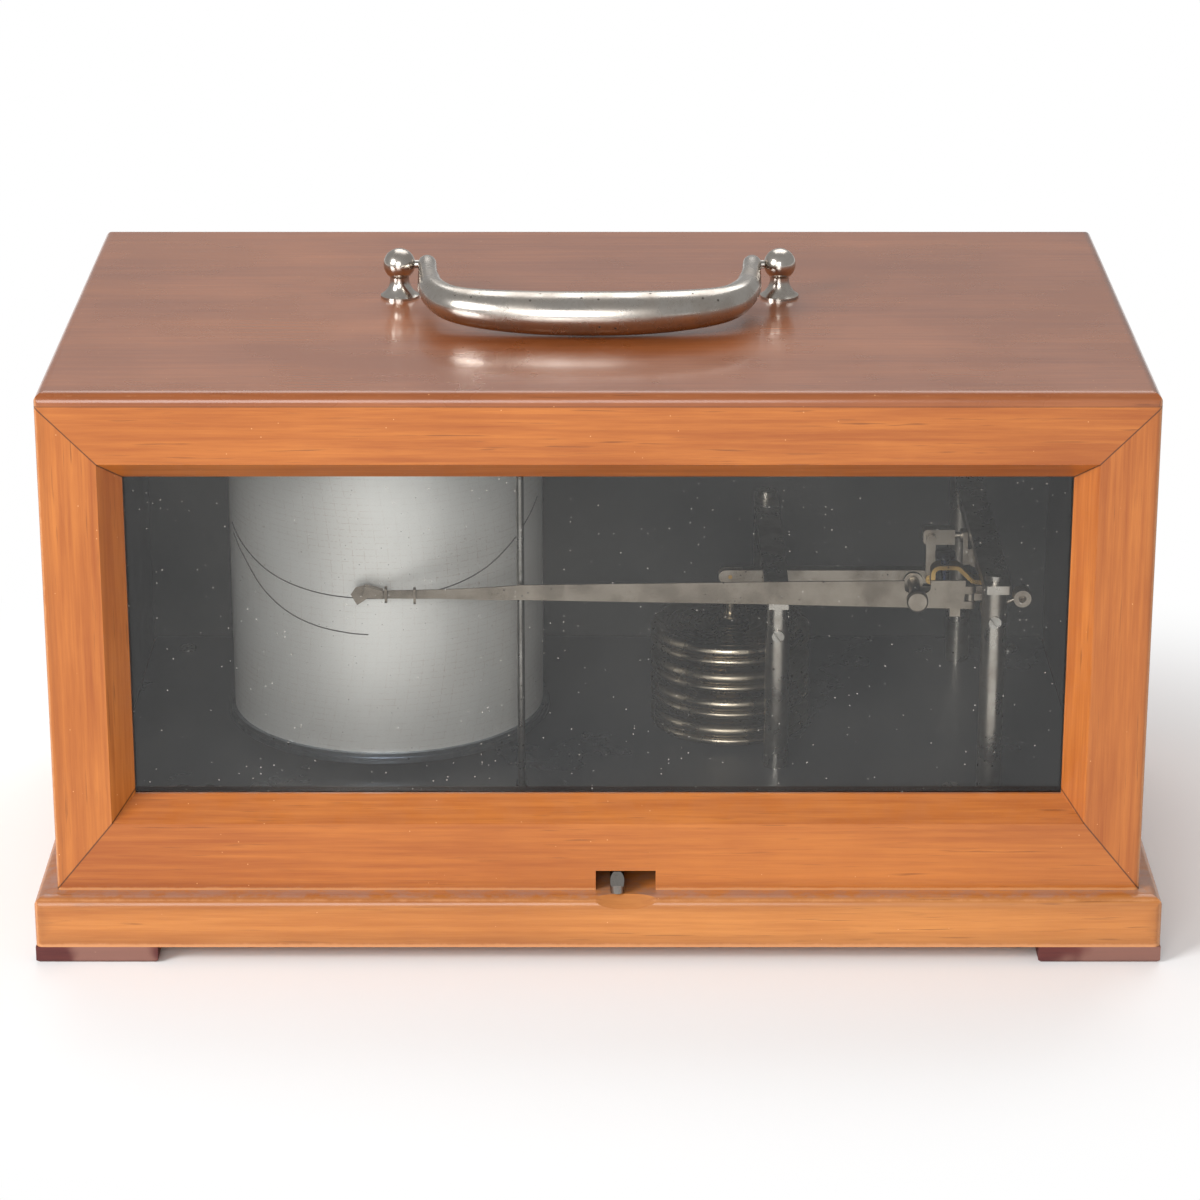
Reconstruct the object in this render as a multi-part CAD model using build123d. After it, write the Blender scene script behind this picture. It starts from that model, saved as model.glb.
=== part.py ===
from build123d import *
import math
import os

# Barograph: a clock drum, an aneroid stack and a pen lever on a wooden base, under a lift-off
# glazed wooden cover. Millimetres, Z up, origin under the middle of the feet, front towards -Y.

# Wooden base
foot_height = 4.8
foot_length = 34.0
foot_chamfer = 0.8
plinth_height = 14.8
plinth_ledge = 5.9
plinth_edge_radius = 3.0
plinth_corner_radius = 2.0
platform_height = 13.4
scoop_depth = 1.2
scoop_radius = 30.0

# Room round the drum, which sets the size of the cover
drum_radius = 46.0
drum_height = 94.0
drum_left_room = 32.5
drum_front_room = 36.0
drum_back_room = 21.2
drum_headroom = 23.6
drum_floor_gap = 3.0
right_side_room = 29.7

# Wooden cover
case_corner_radius = 1.5
top_thickness = 9.0
top_lip = 3.6
top_edge_radius = 2.9
side_thickness = 10.0
back_thickness = 8.0
frame_thickness = 14.0
stile_width = 16.1
top_rail_height = 16.3
bottom_rail_height = 19.9
bevel_width = 5.9
bevel_depth = 7.9
window_land = 0.95
rabbet_width = 4.5
glass_thickness = 2.0
glass_edge_gap = 0.5
bead_inset = 0.4
lining_thickness = 0.8
notch_height = 5.8
notch_left_room = 6.0
notch_right_room = 10.7
cover_fit = 0.4

# Floor plate and its screws
plate_thickness = 1.6
plate_margin = 0.8
plate_corner_radius = 2.0
plate_screw_radius = 2.6
plate_screw_head = 1.0
plate_screw_shank = 1.3
plate_screw_depth = 9.0
plate_screw_inset = 11.2
middle_screw_left = 10.3
middle_screw_inset = 23.6

# Pillars, bars and their screws
pillar_radius = 3.5
spigot_radius = 2.0
spigot_length = 8.0
bar_thickness = 2.5
left_pillar_room = 68.0
left_pillar_height = 49.7
left_pivot_drop = 8.6
left_front_room = 5.4
left_back_room = 18.2
left_bar_width = 7.0
pillar_spacing = 59.8
right_pillar_height = 61.8
right_pivot_drop = 8.8
right_front_room = 20.6
right_back_room = 20.7
right_bar_width = 7.6
bar_overhang = 5.0
bar_corner_radius = 1.0
cheese_head_radius = 2.75
cheese_head_height = 2.0
cheese_shank_radius = 1.45
cheese_shank_depth = 6.0
slot_width = 0.8
slot_depth = 0.8
pivot_screw_radius = 1.75
pivot_screw_proud = 0.5
pivot_screw_reach = 0.9
arbor_radius = 1.5
pivot_tip_radius = 1.0
pivot_tip_length = 1.2
pivot_gap = 0.25
screw_clearance = 0.05

# Aneroid stack
stack_offset = 12.5
lever_offset = 7.5
capsule_count = 4
capsule_pitch = 8.25
capsule_radius = 23.5
capsule_boss_radius = 4.0
corrugation_count = 5
corrugation_height = 0.7
stack_stud_radius = 8.0
stack_stud_height = 1.0
stem_radius = 1.95
stem_collar_radius = 3.0
stem_collar_height = 1.5

# Main lever, link and crank
lever_end_overhang = 3.4
lever_pin_offset = 0.2
link_arm = 13.9
lever_rise = 5.7
crank_rise = 6.1
lever_height = 4.0
lever_depth = 4.0
lever_end_reach = 1.8
hub_width = 7.0
hub_depth = 6.0
hub_drop = 2.5
fork_slot = 1.5
fork_length = 7.1
tongue_thickness = 1.0
tongue_width = 3.2
pin_radius = 0.6
pin_head_radius = 1.4
pin_head_height = 0.6
pin_clearance = 0.05
side_gap = 0.3
slot_pin_play = 0.55
link_width = 2.8
link_thickness = 1.2
crank_block_height = 4.6
crank_block_overhang = 2.2
crank_block_length = 9.3
crank_rod_overhang = 1.7
crank_lug_offset = 4.4
crank_lug_rise = 1.5
crank_rod_radius = 0.9
crank_collar_radius = 3.2
crank_collar_length = 4.4
crank_lug_thickness = 1.4
lock_disc_radius = 2.0
lock_disc_thickness = 0.7
ball_nut_radius = 2.1

# Pen arm, its gate hinge and its adjusters
blade_thickness = 0.6
blade_front_gap = 11.1
blade_bend_gap = 10.0
blade_tip_gap = 4.0
blade_tip_overhang = 2.0
knuckle_offset = 6.3
knuckle_rise = 1.2
knuckle_height = 6.7
gate_lug_rise = 3.55
carrier_arm_rise = 3.6
thumb_offset = 22.3
thumb_rise = 8.0
thumb_reach = 13.3
strap_offset = 15.4
strap_set_back = 21.1
strap_rise = 6.8
strap_drop = 0.6
adjuster_offset = 11.9
adjuster_rise = 9.4
bob_offset = 8.6
bob_rise = 3.4
clip_spacings = [4.3, 12.5]
blade_end_slope = 0.2
knuckle_radius = 1.5
knuckle_gap = 0.15
gate_lug_height = 2.0
gate_pin_radius = 0.6
carrier_collar_length = 4.0
carrier_arm_thickness = 1.4
carrier_arm_gap = 0.4
carrier_arm_height = 3.2
carrier_tail_width = 3.0
carrier_tail_thickness = 1.1
thumb_shank_radius = 1.7
thumb_head_radius = 3.0
thumb_head_thickness = 2.4
thumb_notch_width = 7.4
thumb_notch_gap = 0.3
strap_width = 5.0
strap_thickness = 1.2
strap_bend_radius = 2.0
adjuster_head_radius = 2.9
adjuster_head_height = 2.0
adjuster_shank_radius = 1.2
bob_radius = 2.5
bob_hole_radius = 1.1
bob_length = 5.0
bob_stem_radius = 0.7
nib_length = 3.2
nib_reach = 3.7
clip_wire = 0.7

# Clock drum
paper_thickness = 0.25
shell_thickness = 0.8
flange_radius = 47.9
flange_step = 0.7
flange_lower_height = 1.8
flange_upper_height = 1.2
flange_plate_thickness = 1.6
flange_spigot_height = 2.4
drum_top_thickness = 1.6
paper_margin = 1.2
bush_radius = 5.0
bush_height = 4.0
spindle_radius = 3.0
spindle_gap = 0.05
spindle_foot_radius = 11.0
spindle_foot_height = 2.0
nut_radius = 6.0
nut_height = 6.0
nut_gap = 0.3
gear_teeth = 36
pinion_teeth = 9
gear_centre_distance = 15.0
gear_thickness = 1.6
tooth_addendum = 0.5
tooth_dedendum = 0.75
tooth_share = 0.42
movement_radius = 36.0
movement_plate_thickness = 1.5
movement_height = 38.0
movement_rise = 9.4
movement_pillar_radius = 2.0
barrel_radius = 16.0
clip_strip_width = 5.0
clip_strip_thickness = 0.5

# Pen lifter
lifter_pivot_room = 21.8
lifter_rod_overlap = 5.5
lifter_front_gap = 7.0
lifter_rod_drop = 4.0
finger_overhang = 3.6
lifter_rod_radius = 1.1
lifter_bottom_gap = 0.6
lifter_thickness = 2.0
lifter_arm_width = 4.4
lifter_boss_radius = 4.5
lifter_pin_radius = 2.0
lifter_head_radius = 3.4
lifter_head_height = 1.8
lifter_angle = 9.5
finger_radius = 1.95
finger_height = 5.2
pocket_gap = 1.0

# Carrying handle
handle_x = -2.5
handle_y = 10.0
handle_pivot_height = 9.7
post_spacing = 54.8
post_ball_radius = 4.6
post_base_radius = 5.55
post_neck_radius = 2.8
post_spigot_radius = 2.2
post_spigot_length = 6.0
handle_pin_radius = 1.2
handle_lug_gap = 0.6
handle_grip_drop = 3.2
handle_half_span = 46.6
handle_grip_reach = 40.6
handle_end_radius = 2.6
handle_lug_radius = 2.9
handle_swell = 3.7
handle_sections = 26

# Levels and faces that follow from the sizes above
plinth_top = foot_height + plinth_height
platform_top = plinth_top + platform_height
plate_top = platform_top + plate_thickness
flange_bottom = plate_top + drum_floor_gap
drum_top = flange_bottom + drum_height
ceiling = drum_top + drum_headroom
case_top = ceiling + top_thickness
case_height = case_top - plinth_top
train_room = left_pillar_room + pillar_spacing + right_side_room
case_width = 2 * side_thickness + drum_left_room + 2 * drum_radius + train_room
case_depth = frame_thickness + drum_front_room + 2 * drum_radius + drum_back_room + back_thickness
lip_bottom = case_top - top_lip
case_front = -case_depth / 2
case_back = case_depth / 2
frame_back = case_front + frame_thickness
back_inner = case_back - back_thickness
side_inner = case_width / 2 - side_thickness
window_right = case_width / 2 - stile_width
window_bottom = plinth_top + bottom_rail_height
window_top = lip_bottom - top_rail_height
window_back = case_front + bevel_depth + window_land
drum_x = drum_left_room + drum_radius - side_inner
drum_y = frame_back + drum_front_room + drum_radius
drum_right = drum_x + drum_radius
drum_front = drum_y - drum_radius
movement_bottom = flange_bottom + movement_rise
left_pillar_x = drum_right + left_pillar_room
left_front_pillar_y = drum_front + left_front_room
left_back_pillar_y = back_inner - left_back_room
left_pillar_top = plate_top + left_pillar_height
left_pivot_z = left_pillar_top - left_pivot_drop
right_pillar_x = left_pillar_x + pillar_spacing
right_front_pillar_y = frame_back + right_front_room
right_back_pillar_y = back_inner - right_back_room
right_pillar_top = plate_top + right_pillar_height
right_pivot_z = right_pillar_top - right_pivot_drop
right_bar_x = right_pillar_x + 0.5
stack_x = left_pillar_x - stack_offset
lever_y = drum_y - lever_offset
lever_pin_x = stack_x - lever_pin_offset
lever_left = lever_pin_x - lever_end_overhang
lever_middle_z = left_pivot_z + lever_rise
link_x = right_pillar_x - link_arm
crank_pin_z = right_pivot_z + crank_rise
crank_block_left = link_x - crank_block_overhang
crank_block_right = crank_block_left + crank_block_length
crank_rod_end = right_pillar_x + crank_rod_overhang
crank_lug_left = right_pillar_x - crank_lug_offset
crank_lug_top = crank_pin_z + crank_lug_rise
blade_front_y = drum_front - blade_front_gap
blade_bend_x = drum_right - lifter_rod_overlap
blade_bend_y = drum_front - blade_bend_gap
blade_tip_x = drum_x - blade_tip_overhang
blade_tip_y = drum_front - blade_tip_gap
knuckle_x = right_pillar_x - knuckle_offset
knuckle_bottom = right_pivot_z + knuckle_rise
knuckle_top = knuckle_bottom + knuckle_height
gate_lug_bottom = right_pivot_z + gate_lug_rise
carrier_arm_bottom = right_pivot_z + carrier_arm_rise
thumb_x = right_pillar_x - thumb_offset
thumb_z = right_pivot_z + thumb_rise
thumb_front_y = blade_front_y - thumb_reach
strap_y = blade_front_y + strap_set_back
strap_left = right_pillar_x - strap_offset
strap_top = right_pivot_z + strap_rise
strap_bottom = right_pivot_z - strap_drop
adjuster_x = right_pillar_x - adjuster_offset
adjuster_head_bottom = right_pivot_z + adjuster_rise
bob_x = right_pillar_x + bob_offset
bob_z = right_pivot_z + bob_rise
clip_places = [blade_tip_x + spacing for spacing in clip_spacings]
lifter_pivot_x = drum_right + lifter_pivot_room
lifter_y = drum_front - lifter_front_gap
lifter_rod_x = drum_right - lifter_rod_overlap
lifter_rod_top = drum_top - lifter_rod_drop
finger_front_y = case_front - finger_overhang
notch_left = lifter_pivot_x - notch_left_room
notch_right = lifter_pivot_x + notch_right_room
stack_bottom = plate_top + stack_stud_height
stack_top = stack_bottom + capsule_count * capsule_pitch
lever_front_y = lever_y - lever_depth / 2
lever_back_y = lever_y + lever_depth / 2
lever_bottom = lever_middle_z - lever_height / 2
lever_top = lever_middle_z + lever_height / 2
knuckle_y = blade_front_y + knuckle_radius
blade_back_y = blade_front_y + blade_thickness
lifter_bottom = plinth_top + lifter_bottom_gap
lifter_top = lifter_bottom + lifter_thickness
handle_pivot_z = case_top + handle_pivot_height


def block(x0, x1, y0, y1, z0, z1):
    """Box between two corners."""
    centre = Pos((x0 + x1) / 2, (y0 + y1) / 2, (z0 + z1) / 2)
    return centre * Box(x1 - x0, y1 - y0, z1 - z0)


def upright(x, y, radius, z0, z1):
    """Round bar along Z."""
    return Pos(x, y, (z0 + z1) / 2) * Cylinder(radius, z1 - z0)


def round_y(x, z, radius, y0, y1):
    """Round bar along Y."""
    return Pos(x, (y0 + y1) / 2, z) * Rot(90, 0, 0) * Cylinder(radius, y1 - y0)


def round_x(y, z, radius, x0, x1):
    """Round bar along X."""
    return Pos((x0 + x1) / 2, y, z) * Rot(0, 90, 0) * Cylinder(radius, x1 - x0)


def polygon(points):
    """Flat face through a list of corners."""
    return make_face(Polyline(*points, close=True))


def prism_y(face, y0, y1):
    """Face drawn in X and Z, extruded along Y."""
    start = Plane(origin=(0, y0, 0), x_dir=(1, 0, 0), z_dir=(0, -1, 0))
    return extrude(start * face, amount=y0 - y1)


def prism_x(face, x0, x1):
    """Face drawn in Y and Z, extruded along X."""
    start = Plane(origin=(x0, 0, 0), x_dir=(0, 1, 0), z_dir=(1, 0, 0))
    return extrude(start * face, amount=x1 - x0)


def prism_z(face, z0, z1):
    """Face drawn in X and Y, extruded along Z."""
    return extrude(Pos(0, 0, z0) * face, amount=z1 - z0)


def rectangle(u0, u1, v0, v1):
    """Flat rectangle between two corners."""
    return Pos((u0 + u1) / 2, (v0 + v1) / 2) * Rectangle(u1 - u0, v1 - v0)


def rounded_board(width, depth, bottom, height, edge_radius, corner_radius):
    """Board whose top edges and upright corners are rounded."""
    side = rectangle(-depth / 2, depth / 2, bottom, bottom + height)
    side = fillet(side.vertices().group_by(Axis.Y)[-1], edge_radius)
    front = rectangle(-width / 2, width / 2, bottom, bottom + height)
    front = fillet(front.vertices().group_by(Axis.Y)[-1], edge_radius)
    plan = RectangleRounded(width, depth, corner_radius)
    along_x = prism_x(side, -width / 2, width / 2)
    along_y = prism_y(front, -depth / 2, depth / 2)
    upwards = prism_z(plan, bottom, bottom + height)
    return along_x & along_y & upwards


def slotted(shape, x, y, z, along, turn):
    """Shape with a screwdriver slot cut into the face at (x, y, z), whose outward way is along."""
    length = 4 * cheese_head_radius
    tool = Box(length, slot_width, 2 * slot_depth)
    place = Plane(origin=(x, y, z), z_dir=along)
    return shape - place * Rot(0, 0, turn) * tool


def base_plinth():
    """Plinth board with rounded top edges, a thumb scoop and the pen lifter's screw hole."""
    width = case_width + 2 * plinth_ledge
    depth = case_depth + 2 * plinth_ledge
    board = rounded_board(
        width, depth, foot_height, plinth_height, plinth_edge_radius, plinth_corner_radius
    )
    inset = plinth_edge_radius * (1 - math.sqrt(0.5))
    away = (scoop_radius - scoop_depth) * math.sqrt(0.5)
    scoop = Pos(
        (notch_left + notch_right) / 2,
        -depth / 2 + inset - away,
        plinth_top - inset + away,
    ) * Sphere(scoop_radius)
    hole = upright(
        lifter_pivot_x, lifter_y, lifter_pin_radius, plinth_top - spigot_length, plinth_top
    )
    return board - scoop - hole


def corner_feet():
    """Four square pads, flush with the plinth's sides."""
    x = case_width / 2 + plinth_ledge - foot_length / 2
    y = case_depth / 2 + plinth_ledge - foot_length / 2
    pad = Box(foot_length, foot_length, foot_height)
    pad = chamfer(pad.edges().group_by(Axis.Z)[0], foot_chamfer)
    return [Pos(sx * x, sy * y, foot_height / 2) * pad for sx in (-1, 1) for sy in (-1, 1)]


def lifter_pocket():
    """Space that the pen lifter's crank sweeps under the floor plate."""
    swing = math.radians(lifter_angle)
    reach = lifter_y - (frame_back - cover_fit)
    half = lifter_arm_width / 2 + pocket_gap
    shift = reach * math.tan(swing)
    front = frame_back - cover_fit
    rod_reach = lifter_pivot_x - lifter_rod_x
    rod_travel = rod_reach * math.sin(swing)
    left = lifter_rod_x - half
    finger_way = polygon(
        [
            (lifter_pivot_x - half, lifter_y + half),
            (lifter_pivot_x + half + pocket_gap, lifter_y + half),
            (lifter_pivot_x + half + shift + pocket_gap, front - 1),
            (lifter_pivot_x - half, front - 1),
        ]
    )
    rod_way = rectangle(left, lifter_pivot_x, lifter_y - rod_travel - half, lifter_y + half)
    boss_way = Pos(lifter_pivot_x, lifter_y) * Circle(lifter_boss_radius + pocket_gap)
    return prism_z(finger_way + rod_way + boss_way, plinth_top - 1, platform_top + 1)


def plate_screw_places():
    """Plan places of the plate's screws: one near each corner, one by the right front pillar."""
    x = side_inner - lining_thickness - plate_margin - plate_screw_inset
    front = frame_back + cover_fit
    near = front + plate_screw_inset
    far = back_inner - lining_thickness - plate_margin - plate_screw_inset
    corners = [(-x, near), (-x, far), (x, far), (x, near)]
    return corners + [(right_pillar_x - middle_screw_left, front + middle_screw_inset)]


def hold_down_holes(bottom, radius_gap):
    """Bores for the pillars' spigots, the stack's stud, the spindle's and the plate's screws."""
    top = plate_top + 1
    holes = [upright(x, y, spigot_radius + radius_gap, bottom, top) for x, y in pillar_places()]
    holes.append(upright(stack_x, lever_y, spigot_radius + radius_gap, bottom, top))
    holes.append(upright(drum_x, drum_y, spigot_radius + radius_gap, bottom, top))
    for x, y in plate_screw_places():
        holes.append(upright(x, y, plate_screw_shank + radius_gap, bottom, top))
    return holes


def pillar_places():
    """Plan places of the four pillars, left pair first."""
    return [
        (left_pillar_x, left_front_pillar_y),
        (left_pillar_x, left_back_pillar_y),
        (right_pillar_x, right_front_pillar_y),
        (right_pillar_x, right_back_pillar_y),
    ]


def platform_board():
    """Inner board that carries the plate and centres the cover."""
    half = side_inner - cover_fit
    board = block(
        -half, half, frame_back + cover_fit, back_inner - cover_fit, plinth_top, platform_top
    )
    board = chamfer(board.edges().group_by(Axis.Z)[-1], cover_fit)
    return board - lifter_pocket() - hold_down_holes(plate_top - plate_screw_depth, 0)


def floor_plate():
    """Dark metal plate with the arc slot for the lifter rod."""
    half = side_inner - lining_thickness - plate_margin
    front = frame_back + cover_fit
    back = back_inner - lining_thickness - plate_margin
    plan = Pos(0, (front + back) / 2) * RectangleRounded(
        2 * half, back - front, plate_corner_radius
    )
    travel = (lifter_pivot_x - lifter_rod_x) * math.sin(math.radians(lifter_angle))
    width = 2 * (lifter_rod_radius + pin_clearance) + 1
    slot = Pos(lifter_rod_x, lifter_y - travel / 2) * Rot(0, 0, 90) * SlotOverall(
        travel + width, width
    )
    plate = prism_z(plan - slot, platform_top, plate_top)
    return plate - hold_down_holes(platform_top - 1, screw_clearance)


def plate_screws():
    """Round-headed slotted screws that hold the floor plate."""
    screws = []
    for x, y in plate_screw_places():
        head = upright(x, y, plate_screw_radius, plate_top, plate_top + plate_screw_head)
        head = chamfer(head.edges().group_by(Axis.Z)[-1], plate_screw_head * 0.4)
        shank = upright(x, y, plate_screw_shank, plate_top - plate_screw_depth, plate_top)
        screw = slotted(head + shank, x, y, plate_top + plate_screw_head, (0, 0, 1), x)
        screws.append(screw)
    return screws


def pillar(x, y, top, pivot_z):
    """Turned pillar with a spigot below, a tapped top and a cross bore for a pivot screw."""
    body = upright(x, y, pillar_radius, plate_top, top)
    body += upright(x, y, spigot_radius, plate_top - spigot_length, plate_top)
    shank = cheese_shank_radius + screw_clearance
    body -= upright(x, y, shank, top - cheese_shank_depth - 1, top + 1)
    cross = pivot_screw_radius + screw_clearance
    body -= round_y(x, pivot_z, cross, y - 2 * pillar_radius, y + 2 * pillar_radius)
    return body


def left_pillars():
    """Lower pair of pillars, which holds the main lever's arbor."""
    return [
        pillar(left_pillar_x, y, left_pillar_top, left_pivot_z)
        for y in (left_front_pillar_y, left_back_pillar_y)
    ]


def right_pillars():
    """Taller pair of pillars, which holds the pen arbor."""
    return [
        pillar(right_pillar_x, y, right_pillar_top, right_pivot_z)
        for y in (right_front_pillar_y, right_back_pillar_y)
    ]


def bar(x, pillar_x, width, front, back, bottom):
    """Flat bar across a pair of pillars, bored for its two screws."""
    middle = (front + back) / 2
    length = back - front + 2 * bar_overhang
    plan = Pos(x, middle) * RectangleRounded(width, length, bar_corner_radius)
    plate = prism_z(plan, bottom, bottom + bar_thickness)
    shank = cheese_shank_radius + screw_clearance
    for y in (front, back):
        plate -= upright(pillar_x, y, shank, bottom - 1, bottom + bar_thickness + 1)
    return plate


def left_bar():
    """Bar across the lower pillars."""
    return bar(
        left_pillar_x, left_pillar_x, left_bar_width,
        left_front_pillar_y, left_back_pillar_y, left_pillar_top,
    )


def right_bar():
    """Bar across the taller pillars."""
    return bar(
        right_bar_x, right_pillar_x, right_bar_width,
        right_front_pillar_y, right_back_pillar_y, right_pillar_top,
    )


def bar_screws():
    """Cheese-head screws that hold the bars to the pillars."""
    screws = []
    tops = [left_pillar_top, left_pillar_top, right_pillar_top, right_pillar_top]
    for (x, y), top in zip(pillar_places(), tops):
        seat = top + bar_thickness
        head = upright(x, y, cheese_head_radius, seat, seat + cheese_head_height)
        shank = upright(x, y, cheese_shank_radius, top - cheese_shank_depth, seat)
        screw = slotted(head + shank, x, y, seat + cheese_head_height, (0, 0, 1), y)
        screws.append(screw)
    return screws


def pivot_screw(x, y, z, inward):
    """Slotted screw through a pillar, with a cone cup that takes an arbor's tip."""
    outer = y - inward * (pillar_radius + pivot_screw_proud)
    inner = y + inward * (pillar_radius + pivot_screw_reach)
    screw = round_y(x, z, pivot_screw_radius, min(outer, inner), max(outer, inner))
    cup = Cone(0, pivot_tip_radius + pivot_gap, pivot_tip_length + pivot_gap)
    middle = inner - inward * (pivot_tip_length + pivot_gap) / 2
    place = Plane(origin=(x, middle, z), z_dir=(0, inward, 0))
    screw -= place * cup
    return slotted(screw, x, outer, z, (0, -inward, 0), 35)


def pivot_screws():
    """Four pivot screws, two for each arbor."""
    return [
        pivot_screw(left_pillar_x, left_front_pillar_y, left_pivot_z, 1),
        pivot_screw(left_pillar_x, left_back_pillar_y, left_pivot_z, -1),
        pivot_screw(right_pillar_x, right_front_pillar_y, right_pivot_z, 1),
        pivot_screw(right_pillar_x, right_back_pillar_y, right_pivot_z, -1),
    ]


def arbor(x, z, front_pillar_y, back_pillar_y):
    """Shaft between two pivot screws, with a cone tip at each end."""
    front = front_pillar_y + pillar_radius + pivot_screw_reach + pivot_gap
    back = back_pillar_y - pillar_radius - pivot_screw_reach - pivot_gap
    shaft = round_y(x, z, arbor_radius, front, back)
    tip = Cone(pivot_tip_radius, 0, pivot_tip_length)
    for y, outward in ((front, -1), (back, 1)):
        middle = y + outward * pivot_tip_length / 2
        shaft += Plane(origin=(x, middle, z), z_dir=(0, outward, 0)) * tip
    return shaft


def lever_arbor():
    """Arbor of the main lever."""
    return arbor(left_pillar_x, left_pivot_z, left_front_pillar_y, left_back_pillar_y)


def pen_arbor():
    """Arbor of the pen."""
    return arbor(right_pillar_x, right_pivot_z, right_front_pillar_y, right_back_pillar_y)


def capsule(bottom, waves):
    """One aneroid capsule: thick upper rim, thin lower rim and waves rings of corrugation on top."""
    low = bottom + 0.18 * capsule_pitch
    high = bottom + 0.76 * capsule_pitch
    rim = capsule_radius - 2.2
    start = capsule_boss_radius + 1.0
    step = (rim - 1.0 - start) / max(2 * waves, 1)
    wave = [(rim - 1.0 - i * step, high + (i % 2) * corrugation_height) for i in range(2 * waves + 1)]
    flange = capsule_radius - 0.4
    outline = [
        (0, bottom), (capsule_boss_radius, bottom), (capsule_boss_radius, low),
        (flange, low), (flange, low + 0.6), (rim, low + 0.9),
        (capsule_radius, low + 2.2), (capsule_radius, high - 0.9), (rim, high + 0.6),
        *wave, (capsule_boss_radius, high),
        (capsule_boss_radius, bottom + capsule_pitch), (0, bottom + capsule_pitch),
    ]
    half = Plane.XZ * polygon(outline)
    return Pos(stack_x, lever_y, 0) * revolve(half, Axis.Z)


def capsules():
    """Stack of aneroid capsules, of which only the top one shows its corrugations."""
    stack = []
    for i in range(capsule_count):
        waves = corrugation_count if i == capsule_count - 1 else 0
        stack.append(capsule(stack_bottom + i * capsule_pitch, waves))
    return stack


def capsule_stud():
    """Seat of the stack on the floor plate, with its spigot."""
    seat = upright(stack_x, lever_y, stack_stud_radius, plate_top, stack_bottom)
    return seat + upright(stack_x, lever_y, spigot_radius, plate_top - spigot_length, plate_top)


def capsule_head():
    """Stem on the stack, with a flat tongue in the lever's fork."""
    collar_top = stack_top + stem_collar_height
    stem_top = lever_bottom - 1.0
    tongue_top = lever_top - 0.6
    head = upright(stack_x, lever_y, stem_collar_radius, stack_top, collar_top)
    head += upright(stack_x, lever_y, stem_radius, collar_top, stem_top)
    half = tongue_thickness / 2
    tongue_x = lever_pin_x
    head += block(
        tongue_x - tongue_width / 2, tongue_x + tongue_width / 2,
        lever_y - half, lever_y + half, stem_top - 0.5, tongue_top,
    )
    hole = Pos(tongue_x, lever_middle_z) * SlotOverall(
        2 * (pin_radius + slot_pin_play), 2 * (pin_radius + 4 * pin_clearance)
    )
    return head - prism_y(hole, lever_y - 1, lever_y + 1)


def main_lever():
    """Square bar with a forked round end, and the hub that clamps it to its arbor."""
    half = lever_height / 2
    right = link_x + lever_end_reach
    side = Pos((lever_left + right) / 2, lever_middle_z) * SlotOverall(
        right - lever_left, lever_height
    )
    lever = prism_y(side, lever_front_y, lever_back_y)
    hub_bottom = left_pivot_z - hub_drop
    lever += block(
        left_pillar_x - hub_width / 2, left_pillar_x + hub_width / 2,
        lever_y - hub_depth / 2, lever_y + hub_depth / 2, hub_bottom, lever_bottom + half,
    )
    lever -= block(
        lever_left - 1, lever_left + fork_length,
        lever_y - fork_slot / 2, lever_y + fork_slot / 2, lever_bottom - 1, lever_top + 1,
    )
    lever -= round_y(left_pillar_x, left_pivot_z, arbor_radius, lever_y - 9, lever_y + 9)
    for x in (lever_pin_x, link_x):
        lever -= round_y(x, lever_middle_z, pin_radius, lever_y - 9, lever_y + 9)
    return lever


def headed_pin(x, z, back):
    """Pin along Y whose head holds the link on."""
    seat = lever_front_y - 2 * side_gap - link_thickness
    pin = round_y(x, z, pin_radius, seat, back)
    return pin + round_y(x, z, pin_head_radius, seat - pin_head_height, seat)


def lever_pins():
    """Brass cross pin of the fork, and the pin that carries the link."""
    cross = round_y(lever_pin_x, lever_middle_z, pin_radius, lever_front_y - 0.2, lever_back_y + 0.2)
    return [cross, headed_pin(link_x, lever_middle_z, lever_back_y)]


def lever_link():
    """Flat link from the lever's end up to the crank block."""
    length = crank_pin_z - lever_middle_z + link_width
    middle = (crank_pin_z + lever_middle_z) / 2
    strip = Pos(link_x, middle) * Rot(0, 0, 90) * SlotOverall(length, link_width)
    strip -= Pos(link_x, lever_middle_z) * Circle(pin_radius + pin_clearance)
    strip -= Pos(link_x, crank_pin_z) * Circle(pin_radius + slot_pin_play - 0.05)
    back = lever_front_y - side_gap
    return prism_y(strip, back - link_thickness, back)


def crank_arm():
    """Collar on the pen arbor with the upright lug that clamps the crank rod."""
    half = crank_collar_length / 2
    arm = round_y(
        right_pillar_x, right_pivot_z, crank_collar_radius, lever_y - half, lever_y + half
    )
    lug_right = crank_lug_left + crank_lug_thickness
    arm += block(
        crank_lug_left, right_pillar_x, lever_front_y, lever_back_y,
        right_pivot_z - 2.4, right_pivot_z + 2.4,
    )
    arm += block(
        crank_lug_left, lug_right, lever_front_y, lever_back_y, right_pivot_z, crank_lug_top
    )
    arm -= round_y(right_pillar_x, right_pivot_z, arbor_radius, lever_y - 9, lever_y + 9)
    return arm - round_x(lever_y, crank_pin_z, crank_rod_radius, crank_lug_left - 1, lug_right + 1)


def crank_block():
    """Block on the end of the crank rod, which the link's pin goes through."""
    half = crank_block_height / 2
    body = block(
        crank_block_left, crank_block_right, lever_front_y, lever_back_y,
        crank_pin_z - half, crank_pin_z + half,
    )
    body = fillet(body.edges().filter_by(Axis.Y).group_by(Axis.X)[0], 1.2)
    body += round_x(lever_y, crank_pin_z, crank_rod_radius, crank_block_right, crank_rod_end)
    return body - round_y(link_x, crank_pin_z, pin_radius, lever_front_y - 1, lever_back_y + 1)


def crank_pin():
    """Pin of the link in the crank block."""
    return headed_pin(link_x, crank_pin_z, lever_back_y)


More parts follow.
